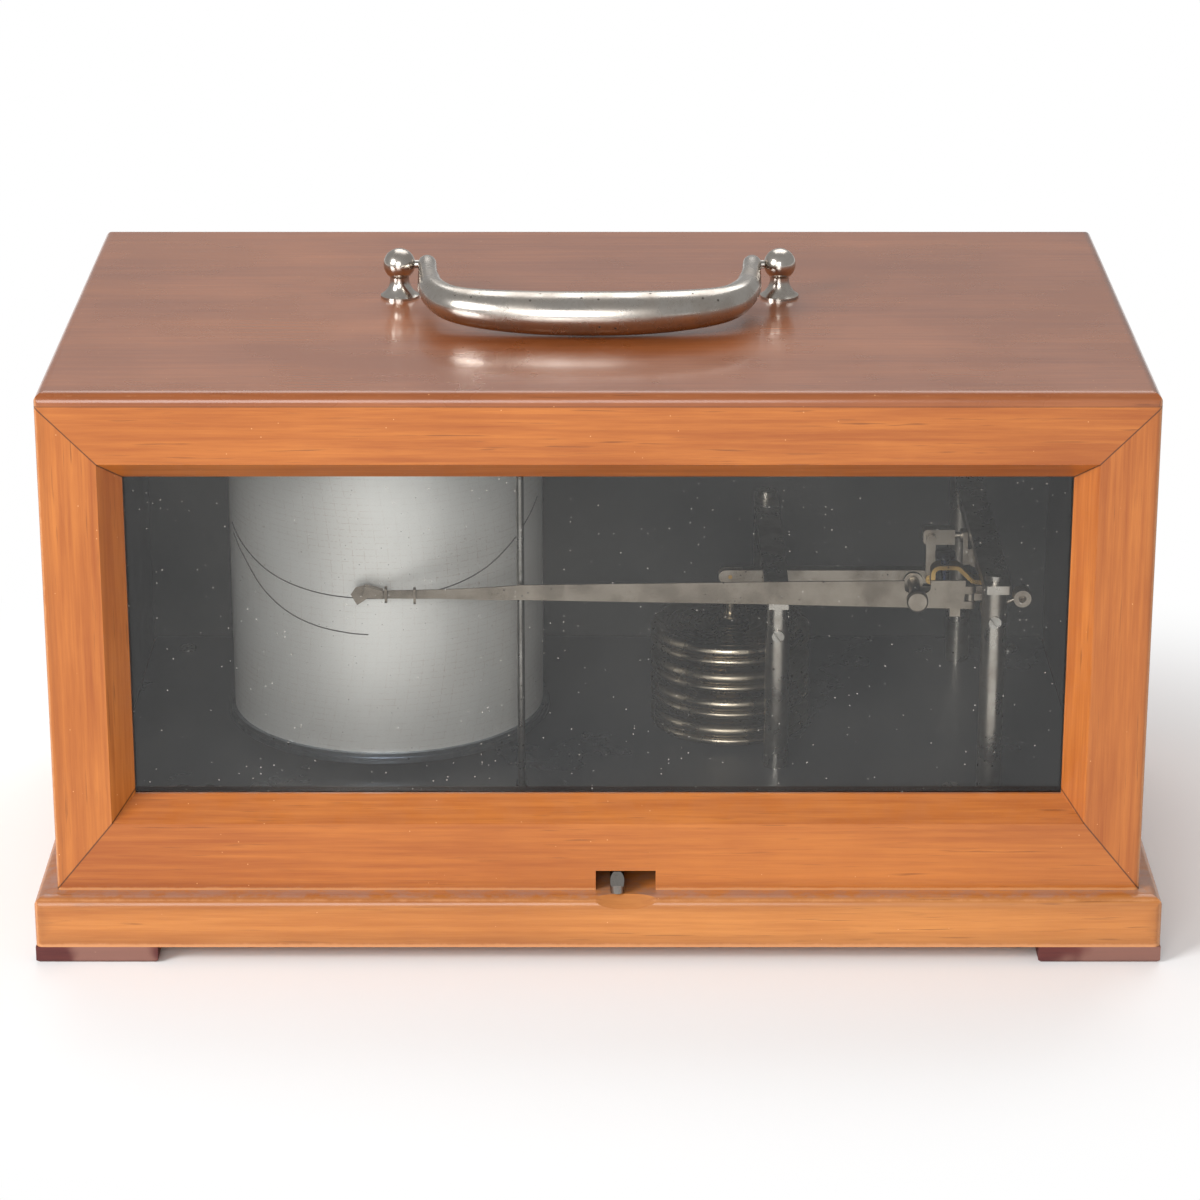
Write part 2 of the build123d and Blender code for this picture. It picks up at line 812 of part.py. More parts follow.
def crank_nuts():
    """Thin locking disc and ball nut on the crank rod, each side of the lug."""
    disc = round_x(
        lever_y, crank_pin_z, lock_disc_radius, crank_lug_left - lock_disc_thickness, crank_lug_left
    )
    lug_right = crank_lug_left + crank_lug_thickness
    centre = lug_right + ball_nut_radius * 0.85
    ball = Pos(centre, lever_y, crank_pin_z) * Sphere(ball_nut_radius)
    ball &= block(
        lug_right, centre + 2 * ball_nut_radius, lever_front_y - 2, lever_back_y + 2,
        crank_pin_z - 5, crank_pin_z + 5,
    )
    way = round_x(lever_y, crank_pin_z, crank_rod_radius, crank_lug_left - 2, crank_rod_end + 2)
    return [disc - way, ball - way]


def adjusting_strap():
    """Bent spring strap on the pen arbor, which the adjusting screw passes through."""
    collar_top = right_pivot_z + crank_collar_radius - strap_thickness / 2
    line = FilletPolyline(
        (strap_left + 9.0, strap_bottom),
        (strap_left, strap_bottom),
        (strap_left, strap_top),
        (strap_left + 7.2, strap_top),
        (right_pillar_x - 4.0, collar_top),
        (right_pillar_x, collar_top),
        radius=strap_bend_radius,
    )
    front = strap_y - strap_width / 2
    back = strap_y + strap_width / 2
    strap = prism_y(trace(line, line_width=strap_thickness), front, back)
    strap += round_y(right_pillar_x, right_pivot_z, crank_collar_radius, front, back)
    strap -= round_y(right_pillar_x, right_pivot_z, arbor_radius, front - 1, back + 1)
    hole = adjuster_shank_radius + pin_clearance
    return strap - upright(adjuster_x, strap_y, hole, strap_top - 2, strap_top + 2)


def adjusting_screw():
    """Zero-setting screw with a broad head, whose tip bears on the strap's lower leg."""
    head_top = adjuster_head_bottom + adjuster_head_height
    tip = strap_bottom + strap_thickness / 2 + pin_clearance
    screw = upright(adjuster_x, strap_y, adjuster_head_radius, adjuster_head_bottom, head_top)
    screw = chamfer(screw.edges().group_by(Axis.Z)[-1], 0.4)
    screw += upright(adjuster_x, strap_y, adjuster_shank_radius, tip, adjuster_head_bottom)
    return slotted(screw, adjuster_x, strap_y, head_top, (0, 0, 1), 25)


def carrier_back():
    """Front and back faces of the carrier's arm, behind the blade's knuckle."""
    front = knuckle_y + knuckle_radius + carrier_arm_gap
    return front, front + carrier_arm_thickness


def gate_carrier():
    """Collar on the pen arbor with the gate lug, the thumbscrew's arm and the tail to the strap."""
    arm_front, arm_back = carrier_back()
    collar_front = blade_back_y + 0.3
    carrier = round_y(
        right_pillar_x, right_pivot_z, crank_collar_radius,
        collar_front, collar_front + carrier_collar_length,
    )
    lug_top = gate_lug_bottom + gate_lug_height
    lug_back = knuckle_y + knuckle_radius - 0.1
    carrier += block(
        knuckle_x, right_pillar_x + 1, knuckle_y - 0.9, lug_back, gate_lug_bottom, lug_top
    )
    carrier += upright(knuckle_x, knuckle_y, knuckle_radius - 0.1, gate_lug_bottom, lug_top)
    carrier += block(
        right_pillar_x - 2.0, right_pillar_x + 1.0, collar_front, lug_back, right_pivot_z, lug_top
    )
    arm_top = carrier_arm_bottom + carrier_arm_height
    carrier += block(
        thumb_x - 3, right_pillar_x + 1, arm_front, arm_back, carrier_arm_bottom, arm_top
    )
    carrier += block(
        right_pillar_x - 2.0, right_pillar_x + 1.0, lug_back - 1, arm_back, right_pivot_z, arm_top
    )
    carrier += round_y(thumb_x, thumb_z, thumb_shank_radius + 1.1, arm_front, arm_back)
    tail_top = strap_bottom - strap_thickness / 2
    tail_x = adjuster_x + 1.6
    carrier += block(
        tail_x - carrier_tail_width / 2, tail_x + carrier_tail_width / 2,
        arm_front, strap_y + strap_width / 2,
        tail_top - carrier_tail_thickness, tail_top,
    )
    carrier += block(
        tail_x - carrier_tail_width / 2, tail_x + carrier_tail_width / 2,
        arm_front, arm_back, tail_top - carrier_tail_thickness, carrier_arm_bottom + 1,
    )
    carrier -= round_y(right_pillar_x, right_pivot_z, arbor_radius, blade_front_y, arm_back + 9)
    carrier -= upright(knuckle_x, knuckle_y, gate_pin_radius, gate_lug_bottom - 1, lug_top + 1)
    return carrier - round_y(thumb_x, thumb_z, thumb_thread_hole(), arm_front - 1, arm_back + 1)


def thumb_thread_hole():
    """Bore of the carrier's arm for the thumbscrew."""
    return thumb_shank_radius + pin_clearance


def gate_pin():
    """Pin of the gate hinge."""
    return upright(
        knuckle_x, knuckle_y, gate_pin_radius, knuckle_bottom - 0.4, knuckle_top + 0.1
    )


def thumbscrew():
    """Pen pressure screw with a flat round head, through the notch in the blade."""
    _, arm_back = carrier_back()
    head_back = thumb_front_y + thumb_head_thickness
    head = round_y(thumb_x, thumb_z, thumb_head_radius, thumb_front_y, head_back)
    head = chamfer(head.edges().group_by(Axis.Y)[0], 0.4)
    neck = round_y(thumb_x, thumb_z, thumb_shank_radius + 0.5, head_back, head_back + 1.6)
    return head + neck + round_y(thumb_x, thumb_z, thumb_shank_radius, head_back, arm_back + 1.0)


def balance_bob():
    """Small tubular balance weight on a stem at the carrier's collar."""
    front = blade_back_y + 1.5
    y = front + bob_length / 2
    bob = round_y(bob_x, bob_z, bob_radius, front, front + bob_length)
    bob -= round_y(bob_x, bob_z, bob_hole_radius, front - 1, front + bob_length * 0.7)
    start = Vector(right_pillar_x, y, right_pivot_z)
    way = Vector(bob_x, y, bob_z) - start
    away = way.normalized()
    length = way.length - crank_collar_radius - bob_radius
    place = Plane(origin=start + away * crank_collar_radius, z_dir=away)
    stem = place * Pos(0, 0, length / 2 + 0.3) * Cylinder(bob_stem_radius, length + 0.6)
    return bob + stem


def blade_outline():
    """Side view of the blade, in X and Z: deep at the root, slender at the pen."""
    middle_x = (blade_bend_x + drum_x) / 2 - 2.25
    return polygon(
        [
            (knuckle_x, knuckle_bottom), (knuckle_x, knuckle_top),
            (knuckle_x - knuckle_radius, knuckle_top),
            (knuckle_x - knuckle_radius, knuckle_top + 1.8),
            (left_pillar_x - 1.5, knuckle_top + 1.2),
            (blade_bend_x, knuckle_top),
            (middle_x, knuckle_top - 2.1),
            (blade_tip_x + 3.5, knuckle_top - 3.6),
            (blade_tip_x, knuckle_top - 3.2),
            (blade_tip_x, knuckle_bottom + 0.6),
            (middle_x, knuckle_bottom + 1.9),
            (blade_bend_x, knuckle_bottom + 2.3),
            (left_pillar_x - 1.5, knuckle_bottom + 1.2),
        ]
    )


def blade_plan():
    """Blade from above: straight, then bent back towards the drum."""
    slope = (blade_bend_y - blade_front_y) / (blade_bend_x - knuckle_x)
    corner = (blade_bend_x, blade_bend_y)
    tip = (blade_tip_x, blade_tip_y)
    straight = Line((knuckle_x, blade_front_y), corner)
    bend = Spline(corner, tip, tangents=[(-1, -slope), (-1, blade_end_slope)])
    back_corner = (blade_bend_x, blade_bend_y + blade_thickness)
    back_tip = (blade_tip_x, blade_tip_y + blade_thickness)
    back_bend = Spline(back_corner, back_tip, tangents=[(-1, -slope), (-1, blade_end_slope)])
    back_straight = Line((knuckle_x, blade_back_y), back_corner)
    return make_face(
        straight + bend + Line(tip, back_tip) + back_bend + back_straight
        + Line((knuckle_x, blade_front_y), (knuckle_x, blade_back_y))
    )


def blade_sheet():
    """Bent sheet of the blade: its plan seen from above, cut to its side view."""
    ribbon = prism_z(blade_plan(), knuckle_bottom - 5, knuckle_top + 5)
    return ribbon & prism_y(blade_outline(), blade_front_y - 5, drum_y)


def pen_arm():
    """Thin blade with a rolled knuckle in two parts and a notch for the thumbscrew."""
    blade = blade_sheet()
    lug_low = gate_lug_bottom - knuckle_gap
    lug_high = gate_lug_bottom + gate_lug_height + knuckle_gap
    for z0, z1 in ((knuckle_bottom, lug_low), (lug_high, knuckle_top)):
        blade += upright(knuckle_x, knuckle_y, knuckle_radius, z0, z1)
    clear = knuckle_radius + 0.3
    blade -= block(
        knuckle_x - clear, knuckle_x + clear, knuckle_y - 2, knuckle_y + 2, lug_low, lug_high
    )
    bore = gate_pin_radius + pin_clearance
    blade -= upright(knuckle_x, knuckle_y, bore, knuckle_bottom - 1, knuckle_top + 1)
    notch_bottom = thumb_z - thumb_shank_radius - thumb_notch_gap
    notch = Pos(thumb_x + 1.0, notch_bottom + 5) * RectangleRounded(thumb_notch_width, 10, 1.6)
    return blade - prism_y(notch, blade_front_y - 1, blade_back_y + 1)


def pen_nib():
    """Folded ink boat at the blade's tip, tapering to the point that marks the chart."""
    base = knuckle_bottom
    tip_x = blade_tip_x - 4.0
    back = blade_tip_y + nib_reach
    front = back - nib_length
    boat = polygon(
        [
            (blade_tip_x + 0.6, base + 1.8), (blade_tip_x - 1.8, base + 4.4),
            (blade_tip_x - 4.3, base + 3.8), (blade_tip_x - 5.8, base + 1.6),
            (tip_x, base - 1.6), (blade_tip_x - 1.9, base - 0.2),
        ]
    )
    start = Plane(origin=(0, front, 0), x_dir=(1, 0, 0), z_dir=(0, -1, 0))
    nib = extrude(start * boat, amount=-nib_length, taper=22)
    neck = polygon(
        [
            (blade_tip_x + 3.4, base + 3.2), (blade_tip_x - 1.6, base + 4.6),
            (blade_tip_x - 2.6, base + 1.2), (blade_tip_x + 3.4, base + 0.8),
        ]
    )
    neck_front = blade_tip_y - 2 * blade_thickness
    nib += prism_y(neck, neck_front, front + 0.6)
    return nib - blade_sheet()


def nib_clips():
    """Two wire loops that grip the nib's tail on the blade."""
    clips = []
    for x in clip_places:
        share = (x - blade_bend_x) / (blade_tip_x - blade_bend_x)
        y = blade_bend_y + (blade_tip_y - blade_bend_y) * share**1.6 + blade_thickness / 2
        z = knuckle_bottom + 3.1 - 1.2 * share
        ring = Pos(y, z) * RectangleRounded(2.2, 4.8, 0.8)
        clips.append(prism_x(ring, x - clip_wire / 2, x + clip_wire / 2) - blade_sheet())
    return clips


def lifter_crank():
    """Bell crank under the floor plate: one arm to the rod, one to the finger."""
    half = lifter_arm_width / 2
    rod_arm = rectangle(lifter_rod_x, lifter_pivot_x, lifter_y - half, lifter_y + half)
    rod_end = Pos(lifter_rod_x, lifter_y) * Circle(half)
    finger_end_y = finger_front_y + finger_radius
    finger_arm = rectangle(
        lifter_pivot_x - finger_radius, lifter_pivot_x + finger_radius, finger_end_y, lifter_y
    )
    boss = Pos(lifter_pivot_x, lifter_y) * Circle(lifter_boss_radius)
    plan = rod_arm + rod_end + finger_arm + boss
    plan -= Pos(lifter_pivot_x, lifter_y) * Circle(lifter_pin_radius + pin_clearance)
    plan -= Pos(lifter_rod_x, lifter_y) * Circle(lifter_rod_radius)
    crank = prism_z(plan, lifter_bottom, lifter_top)
    return crank - upright(
        lifter_pivot_x, finger_end_y, finger_radius, lifter_bottom - 1, lifter_top + 1
    )


def lifter_finger():
    """Round upright finger in the case's notch, cut off aslant in front."""
    y = finger_front_y + finger_radius
    bottom = plinth_top + 0.3
    finger = upright(lifter_pivot_x, y, finger_radius, bottom, bottom + finger_height)
    slant = Pos(lifter_pivot_x, finger_front_y - 1.2, bottom + finger_height + 1.2)
    return finger - slant * Rot(-40, 0, 0) * Box(9, 9, 4.4)


def lifter_rod():
    """Upright rod behind the pen arm, with a bevelled top."""
    rod = upright(lifter_rod_x, lifter_y, lifter_rod_radius, lifter_bottom, lifter_rod_top)
    return chamfer(rod.edges().group_by(Axis.Z)[-1], lifter_rod_radius * 0.6)


def lifter_pivot():
    """Shoulder screw and washer that the pen lifter turns on."""
    washer = upright(
        lifter_pivot_x, lifter_y, lifter_head_radius, plinth_top, lifter_bottom - pin_clearance
    )
    shank = upright(
        lifter_pivot_x, lifter_y, lifter_pin_radius, plinth_top - spigot_length,
        lifter_top + pin_clearance,
    )
    seat = lifter_top + pin_clearance
    head = upright(lifter_pivot_x, lifter_y, lifter_head_radius, seat, seat + lifter_head_height)
    screw = washer + shank + head
    return slotted(screw, lifter_pivot_x, lifter_y, seat + lifter_head_height, (0, 0, 1), 0)


def gear_plan(teeth, pitch_radius, share):
    """Toothed wheel's outline, with a tooth on the +Y side."""
    outer = pitch_radius + tooth_addendum
    inner = pitch_radius - tooth_dedendum
    pitch = 2 * math.pi / teeth
    points = []
    for i in range(teeth):
        middle = math.pi / 2 + i * pitch
        for radius, turn in (
            (inner, -share), (outer, -share / 2), (outer, share / 2), (inner, share)
        ):
            angle = middle + turn * pitch / 2
            points.append((radius * math.cos(angle), radius * math.sin(angle)))
    return polygon(points)


def gear_bottom():
    """Level of the walking gears, inside the drum flange's recess."""
    return flange_bottom + 0.3


def fixed_gear():
    """Wheel fixed on the spindle, which the drum's pinion walks round."""
    pitch_radius = gear_centre_distance * gear_teeth / (gear_teeth + pinion_teeth)
    plan = Rot(0, 0, 180 / gear_teeth) * gear_plan(gear_teeth, pitch_radius, tooth_share)
    plan -= Circle(spindle_radius)
    return Pos(drum_x, drum_y, 0) * prism_z(plan, gear_bottom(), gear_bottom() + gear_thickness)


def walking_pinion():
    """Clock pinion under the drum, with its shaft up to the movement."""
    pitch_radius = gear_centre_distance * pinion_teeth / (gear_teeth + pinion_teeth)
    x = drum_x
    y = drum_y + gear_centre_distance
    plan = Rot(0, 0, 180) * gear_plan(pinion_teeth, pitch_radius, tooth_share)
    pinion = Pos(x, y, 0) * prism_z(plan, gear_bottom(), gear_bottom() + gear_thickness)
    return pinion + upright(x, y, 0.8, gear_bottom(), movement_bottom - 0.3)


def drum_spindle():
    """Fixed spindle on its round foot, with the boss that carries the gear."""
    foot_top = plate_top + spindle_foot_height
    spindle = upright(drum_x, drum_y, spindle_foot_radius, plate_top, foot_top)
    spindle = chamfer(spindle.edges().group_by(Axis.Z)[-1], 0.5)
    spindle += upright(drum_x, drum_y, spindle_radius + 2, foot_top, gear_bottom())
    spindle += upright(drum_x, drum_y, spindle_radius, gear_bottom(), drum_nut_bottom() + nut_height)
    return spindle + upright(drum_x, drum_y, spigot_radius, plate_top - spigot_length, plate_top)


def drum_nut_bottom():
    """Underside of the nut that keeps the drum on its spindle."""
    return drum_top + nut_gap


def drum_nut():
    """Round nut with a coined edge on the spindle's top."""
    plan = Circle(nut_radius)
    nick = Pos(nut_radius, 0) * Circle(0.45)
    for i in range(16):
        plan -= Rot(0, 0, i * 22.5) * nick
    plan -= Circle(spindle_radius)
    bottom = drum_nut_bottom()
    return Pos(drum_x, drum_y, 0) * prism_z(plan, bottom, bottom + nut_height)


def drum_flange():
    """Two-step rim and bottom plate of the drum, with the lower bush."""
    lower_top = flange_bottom + flange_lower_height
    top = lower_top + flange_upper_height
    shell_inner = drum_radius - paper_thickness - shell_thickness
    plate_bottom = top - 0.6
    rim = upright(drum_x, drum_y, flange_radius, flange_bottom, lower_top)
    rim = chamfer(rim.edges(), 0.3)
    rim += upright(drum_x, drum_y, flange_radius - flange_step, lower_top, top)
    rim += upright(drum_x, drum_y, shell_inner, top, top + flange_spigot_height)
    rim -= upright(drum_x, drum_y, shell_inner - 2, flange_bottom - 1, plate_bottom)
    hollow_bottom = plate_bottom + flange_plate_thickness
    rim -= upright(drum_x, drum_y, shell_inner - 2, hollow_bottom, top + flange_spigot_height + 1)
    rim += upright(drum_x, drum_y, bush_radius, plate_bottom, hollow_bottom + bush_height)
    rim -= upright(drum_x, drum_y, spindle_radius + spindle_gap, flange_bottom, drum_top)
    return rim - upright(
        drum_x, drum_y + gear_centre_distance, 0.8 + spindle_gap, flange_bottom, drum_top
    )


def drum_shell():
    """Thin drum with a closed top, its upper bush and a winding hole."""
    bottom = flange_bottom + flange_lower_height + flange_upper_height
    outer = drum_radius - paper_thickness
    inner = outer - shell_thickness
    shell = upright(drum_x, drum_y, outer, bottom, drum_top)
    shell -= upright(drum_x, drum_y, inner, bottom - 1, drum_top - drum_top_thickness)
    shell += upright(drum_x, drum_y, bush_radius, drum_top - bush_height, drum_top)
    shell -= upright(drum_x, drum_y, spindle_radius + spindle_gap, bottom, drum_top + 1)
    winding = upright(drum_x + 20, drum_y, 4.0, drum_top - bush_height, drum_top + 1)
    return shell - winding


def chart_paper():
    """Paper chart wrapped round the drum."""
    bottom = flange_bottom + flange_lower_height + flange_upper_height
    sheet = upright(drum_x, drum_y, drum_radius, bottom, drum_top - paper_margin)
    return sheet - upright(drum_x, drum_y, drum_radius - paper_thickness, bottom - 1, drum_top)


def chart_clip():
    """Springy strip over the chart's seam, on the drum's far side."""
    bottom = flange_bottom + flange_lower_height + flange_upper_height
    strip = upright(drum_x, drum_y, drum_radius + clip_strip_thickness, bottom, drum_top)
    strip -= upright(drum_x, drum_y, drum_radius, bottom - 1, drum_top + 1)
    half = clip_strip_width / 2
    return strip & block(
        drum_x - half, drum_x + half, drum_y, drum_y + 2 * drum_radius, bottom, drum_top
    )


def clock_movement():
    """Two round plates joined by pillars, and the wheels between them."""
    low_top = movement_bottom + movement_plate_thickness
    high = low_top + movement_height
    centre = Pos(drum_x, drum_y)
    plates = upright(drum_x, drum_y, movement_radius, movement_bottom, low_top)
    plates += upright(drum_x, drum_y, movement_radius, high, high + movement_plate_thickness)
    for i in range(4):
        turn = math.radians(45 + 90 * i)
        x = drum_x + (movement_radius - 4) * math.cos(turn)
        y = drum_y + (movement_radius - 4) * math.sin(turn)
        plates += upright(x, y, movement_pillar_radius, low_top, high)
    hole = prism_z(centre * Circle(bush_radius + 1), movement_bottom - 1, high + 9)
    wheel_z = (low_top + high) / 2
    great = upright(drum_x - 12, drum_y + 16, 11.0, wheel_z - 1, wheel_z)
    great += upright(drum_x - 12, drum_y + 16, 1.0, low_top, high)
    balance = upright(drum_x - 14, drum_y - 14, 9.0, wheel_z + 4, wheel_z + 5)
    balance += upright(drum_x - 14, drum_y - 14, 1.0, low_top, high)
    return [plates - hole, great, balance]


def mainspring_barrel():
    """Spring barrel with its winding square under the drum's hole."""
    low_top = movement_bottom + movement_plate_thickness
    x = drum_x + 20
    barrel = upright(x, drum_y, barrel_radius - 2, low_top + 2, low_top + movement_height * 0.6)
    barrel += upright(x, drum_y, barrel_radius - 1, low_top + 1, low_top + 2)
    barrel += upright(x, drum_y, 2.0, low_top, low_top + movement_height)
    square_bottom = low_top + movement_height + movement_plate_thickness
    half = 1.3
    return [
        barrel,
        block(x - half, x + half, drum_y - half, drum_y + half, square_bottom, drum_top - 1),
    ]


def window(y0, y1, grow):
    """Prism through the window, larger by grow on every side than its inner edge."""
    inner = window_right - bevel_width
    face = rectangle(
        -inner - grow, inner + grow,
        window_bottom + bevel_width - grow, window_top - bevel_width + grow,
    )
    return prism_y(face, y0, y1)


def front_frame():
    """Whole front frame before it is cut at the mitres."""
    plan = RectangleRounded(case_width, case_depth, case_corner_radius)
    frame = block(
        -case_width / 2, case_width / 2, case_front, frame_back, plinth_top, lip_bottom
    )
    frame &= prism_z(plan, plinth_top, lip_bottom)
    inner = window_right - bevel_width
    wide = rectangle(-window_right, window_right, window_bottom, window_top)
    narrow = rectangle(-inner, inner, window_bottom + bevel_width, window_top - bevel_width)
    front = Plane(origin=(0, case_front, 0), x_dir=(1, 0, 0), z_dir=(0, -1, 0))
    bevel = loft([front * wide, front.offset(-bevel_depth) * narrow], ruled=True)
    frame -= bevel
    frame -= window(case_front, frame_back + 1, 0)
    frame -= window(window_back, frame_back + 1, rabbet_width)
    return frame - block(
        notch_left, notch_right, case_front - 1, frame_back + 1,
        plinth_top - 1, plinth_top + notch_height,
    )


def mitred(outline):
    """Member of the front frame inside an outline drawn in X and Z."""
    return front_frame() & prism_y(polygon(outline), case_front - 1, frame_back + 1)


def mitre_line(side, level):
    """Mitre's corners on one side, from the frame's outer corner to the window's middle."""
    outer_z, arris_z, step = (
        (plinth_top, window_bottom, 1) if level == "bottom" else (lip_bottom, window_top, -1)
    )
    middle_z = (window_top + window_bottom) / 2
    depth = abs(middle_z - arris_z)
    return [
        (side * case_width / 2, outer_z),
        (side * window_right, arris_z),
        (side * (window_right - depth), arris_z + step * depth),
    ]


def top_rail():
    """Upper member of the front frame."""
    return mitred(mitre_line(-1, "top") + mitre_line(1, "top")[::-1])


def bottom_rail():
    """Lower member of the front frame, with the notch for the lifter's finger."""
    return mitred(mitre_line(-1, "bottom") + mitre_line(1, "bottom")[::-1])


def left_stile():
    """Left upright of the front frame."""
    return mitred(mitre_line(-1, "bottom") + mitre_line(-1, "top")[1::-1])


def right_stile():
    """Right upright of the front frame."""
    return mitred(mitre_line(1, "bottom") + mitre_line(1, "top")[1::-1])


def side_board(side):
    """One side of the cover."""
    edges = sorted((side * side_inner, side * case_width / 2))
    board = block(edges[0], edges[1], frame_back, case_back, plinth_top, lip_bottom)
    plan = RectangleRounded(case_width, case_depth, case_corner_radius)
    return board & prism_z(plan, plinth_top, lip_bottom)


def left_side():
    """Left side board."""
    return side_board(-1)


def right_side():
    """Right side board."""
    return side_board(1)


def back_panel():
    """Back of the cover, between the sides."""
    return block(-side_inner, side_inner, back_inner, case_back, plinth_top, lip_bottom)


def top_board():
    """Top with a rounded lip over the walls and a lower part between them."""
    board = rounded_board(
        case_width, case_depth, lip_bottom, top_lip, top_edge_radius, case_corner_radius
    )
    board += block(-side_inner, side_inner, frame_back, back_inner, ceiling, lip_bottom)
    for side in (-1, 1):
        x = handle_x + side * post_spacing
        board -= upright(x, handle_y, post_spigot_radius, case_top - post_spigot_length, case_top + 1)
    return board


def case_lining():
    """Black lining of the back, the sides and the ceiling."""
    bottom = platform_top + cover_fit
    outer = block(-side_inner, side_inner, frame_back, back_inner, bottom, ceiling)
    inner = side_inner - lining_thickness
    hollow = block(
        -inner, inner, frame_back - 1, back_inner - lining_thickness,
        bottom - 1, ceiling - lining_thickness,
    )
    return outer - hollow


def front_glass():
    """Pane in the frame's rabbet."""
    return window(window_back, window_back + glass_thickness, rabbet_width - glass_edge_gap)


def glass_beads():
    """Four strips that hold the pane, butted at the corners."""
    front = window_back + glass_thickness
    ring = window(front, frame_back, rabbet_width) - window(front - 1, frame_back + 1, bead_inset)
    inner = window_right - bevel_width + bead_inset
    far = inner + rabbet_width
    beads = []
    for side in (-1, 1):
        edges = sorted((side * inner, side * far))
        beads.append(ring & block(edges[0], edges[1], front, frame_back, plinth_top, lip_bottom))
    middle = (window_top + window_bottom) / 2
    beads.append(ring & block(-inner, inner, front, frame_back, plinth_top, middle))
    beads.append(ring & block(-inner, inner, front, frame_back, middle, lip_bottom))
    return beads


def handle_post(x):
    """Turned post: flared foot, neck, ball with a pin hole, and a spigot in the top board."""
    neck_z = handle_pivot_height - post_ball_radius * 0.8
    foot = Polyline(
        (0, -post_spigot_length), (post_spigot_radius, -post_spigot_length),
        (post_spigot_radius, 0), (post_base_radius, 0), (post_base_radius, 0.7),
    )
    flare = ThreePointArc(
        (post_base_radius, 0.7), (post_neck_radius + 0.9, 0.4 * neck_z), (post_neck_radius, neck_z)
    )
    rest = Polyline((post_neck_radius, neck_z), (0, neck_z), (0, -post_spigot_length))
    post = revolve(Plane.XZ * make_face(foot + flare + rest), Axis.Z)
    post += Pos(0, 0, handle_pivot_height) * Sphere(post_ball_radius)
    post = Pos(x, handle_y, case_top) * post
    bore = handle_pin_radius + pin_clearance
    inward = 1 if x < handle_x else -1
    ends = sorted((x + inward * 9, x - inward * 1.5))
    return post - round_x(handle_y, handle_pivot_z, bore, ends[0], ends[1])


def handle_posts():
    """The two posts of the handle."""
    return [handle_post(handle_x + side * post_spacing) for side in (-1, 1)]


def handle_line():
    """Half of the bail's centre line as shares of its span and reach, from lug to middle."""
    return [
        (1.0, 0.0), (0.996, 0.16), (0.974, 0.42), (0.918, 0.66),
        (0.807, 0.85), (0.601, 0.95), (0.322, 0.99), (0.0, 1.0),
    ]


def handle_bail():
    """Swelling grip with two slender ends, as a loft through round sections."""
    half = handle_line()
    stations = half + [(-x, share) for x, share in half[-2::-1]]
    centres = [
        Vector(
            handle_x + x * handle_half_span,
            handle_y - share * handle_grip_reach,
            handle_pivot_z - share * handle_grip_drop,
        )
        for x, share in stations
    ]
    line = Spline(*centres)
    sections = []
    for i in range(handle_sections + 1):
        along = i / handle_sections
        radius = handle_end_radius + handle_swell * math.sin(math.pi * along) ** 0.7
        sections.append(Plane(origin=line @ along, z_dir=line % along) * Circle(radius))
    bail = loft(sections, ruled=True)
    lug_end = post_spacing - post_ball_radius - handle_lug_gap
    for side in (-1, 1):
        ends = sorted((handle_x + side * (lug_end - 5.0), handle_x + side * lug_end))
        lug = round_x(handle_y, handle_pivot_z, handle_lug_radius, ends[0], ends[1])
        bail += chamfer(lug.edges(), handle_lug_radius * 0.3)
        ends = sorted((handle_x + side * (lug_end - 3), handle_x + side * post_spacing))
        bail -= round_x(handle_y, handle_pivot_z, handle_pin_radius, ends[0], ends[1])
    return bail


def handle_pins():
    """Pins from the bail's lugs into the balls."""
    lug_end = post_spacing - post_ball_radius - handle_lug_gap
    pins = []
    for side in (-1, 1):
        ends = sorted((handle_x + side * (lug_end - 3), handle_x + side * (post_spacing - 0.3)))
        pins.append(round_x(handle_y, handle_pivot_z, handle_pin_radius, ends[0], ends[1]))
    return pins


makers = [
    base_plinth, platform_board, corner_feet, floor_plate, plate_screws, lifter_pivot,
    left_pillars, right_pillars, left_bar, right_bar, bar_screws, pivot_screws,
    capsules, capsule_stud, capsule_head, drum_spindle, fixed_gear, drum_nut,
    drum_shell, drum_flange, chart_paper, chart_clip, clock_movement, mainspring_barrel,
    walking_pinion, lifter_rod, lifter_crank, lifter_finger,
    pen_arbor, crank_arm, crank_block, crank_pin, crank_nuts, adjusting_strap,
    adjusting_screw, gate_carrier, gate_pin, thumbscrew, balance_bob,
    pen_arm, pen_nib, nib_clips, main_lever, lever_arbor, lever_pins, lever_link,
    top_board, top_rail, bottom_rail, left_stile, right_stile, left_side, right_side,
    back_panel, case_lining, front_glass, glass_beads, handle_posts, handle_bail, handle_pins,
]

os.makedirs("parts", exist_ok=True)
for maker in makers:
    made = maker()
    solids = made if isinstance(made, list) else [made]
    whole = [solid for shape in solids for solid in shape.solids()]
    shape = whole[0] if len(whole) == 1 else Compound(children=whole)
    export_step(shape, f"parts/{maker.__name__}.step")
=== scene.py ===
"""Barograph in its glazed wooden case: finishes, smooth forms and the studio around the CAD frame."""

import logging
import math
from dataclasses import dataclass, field
from enum import Enum

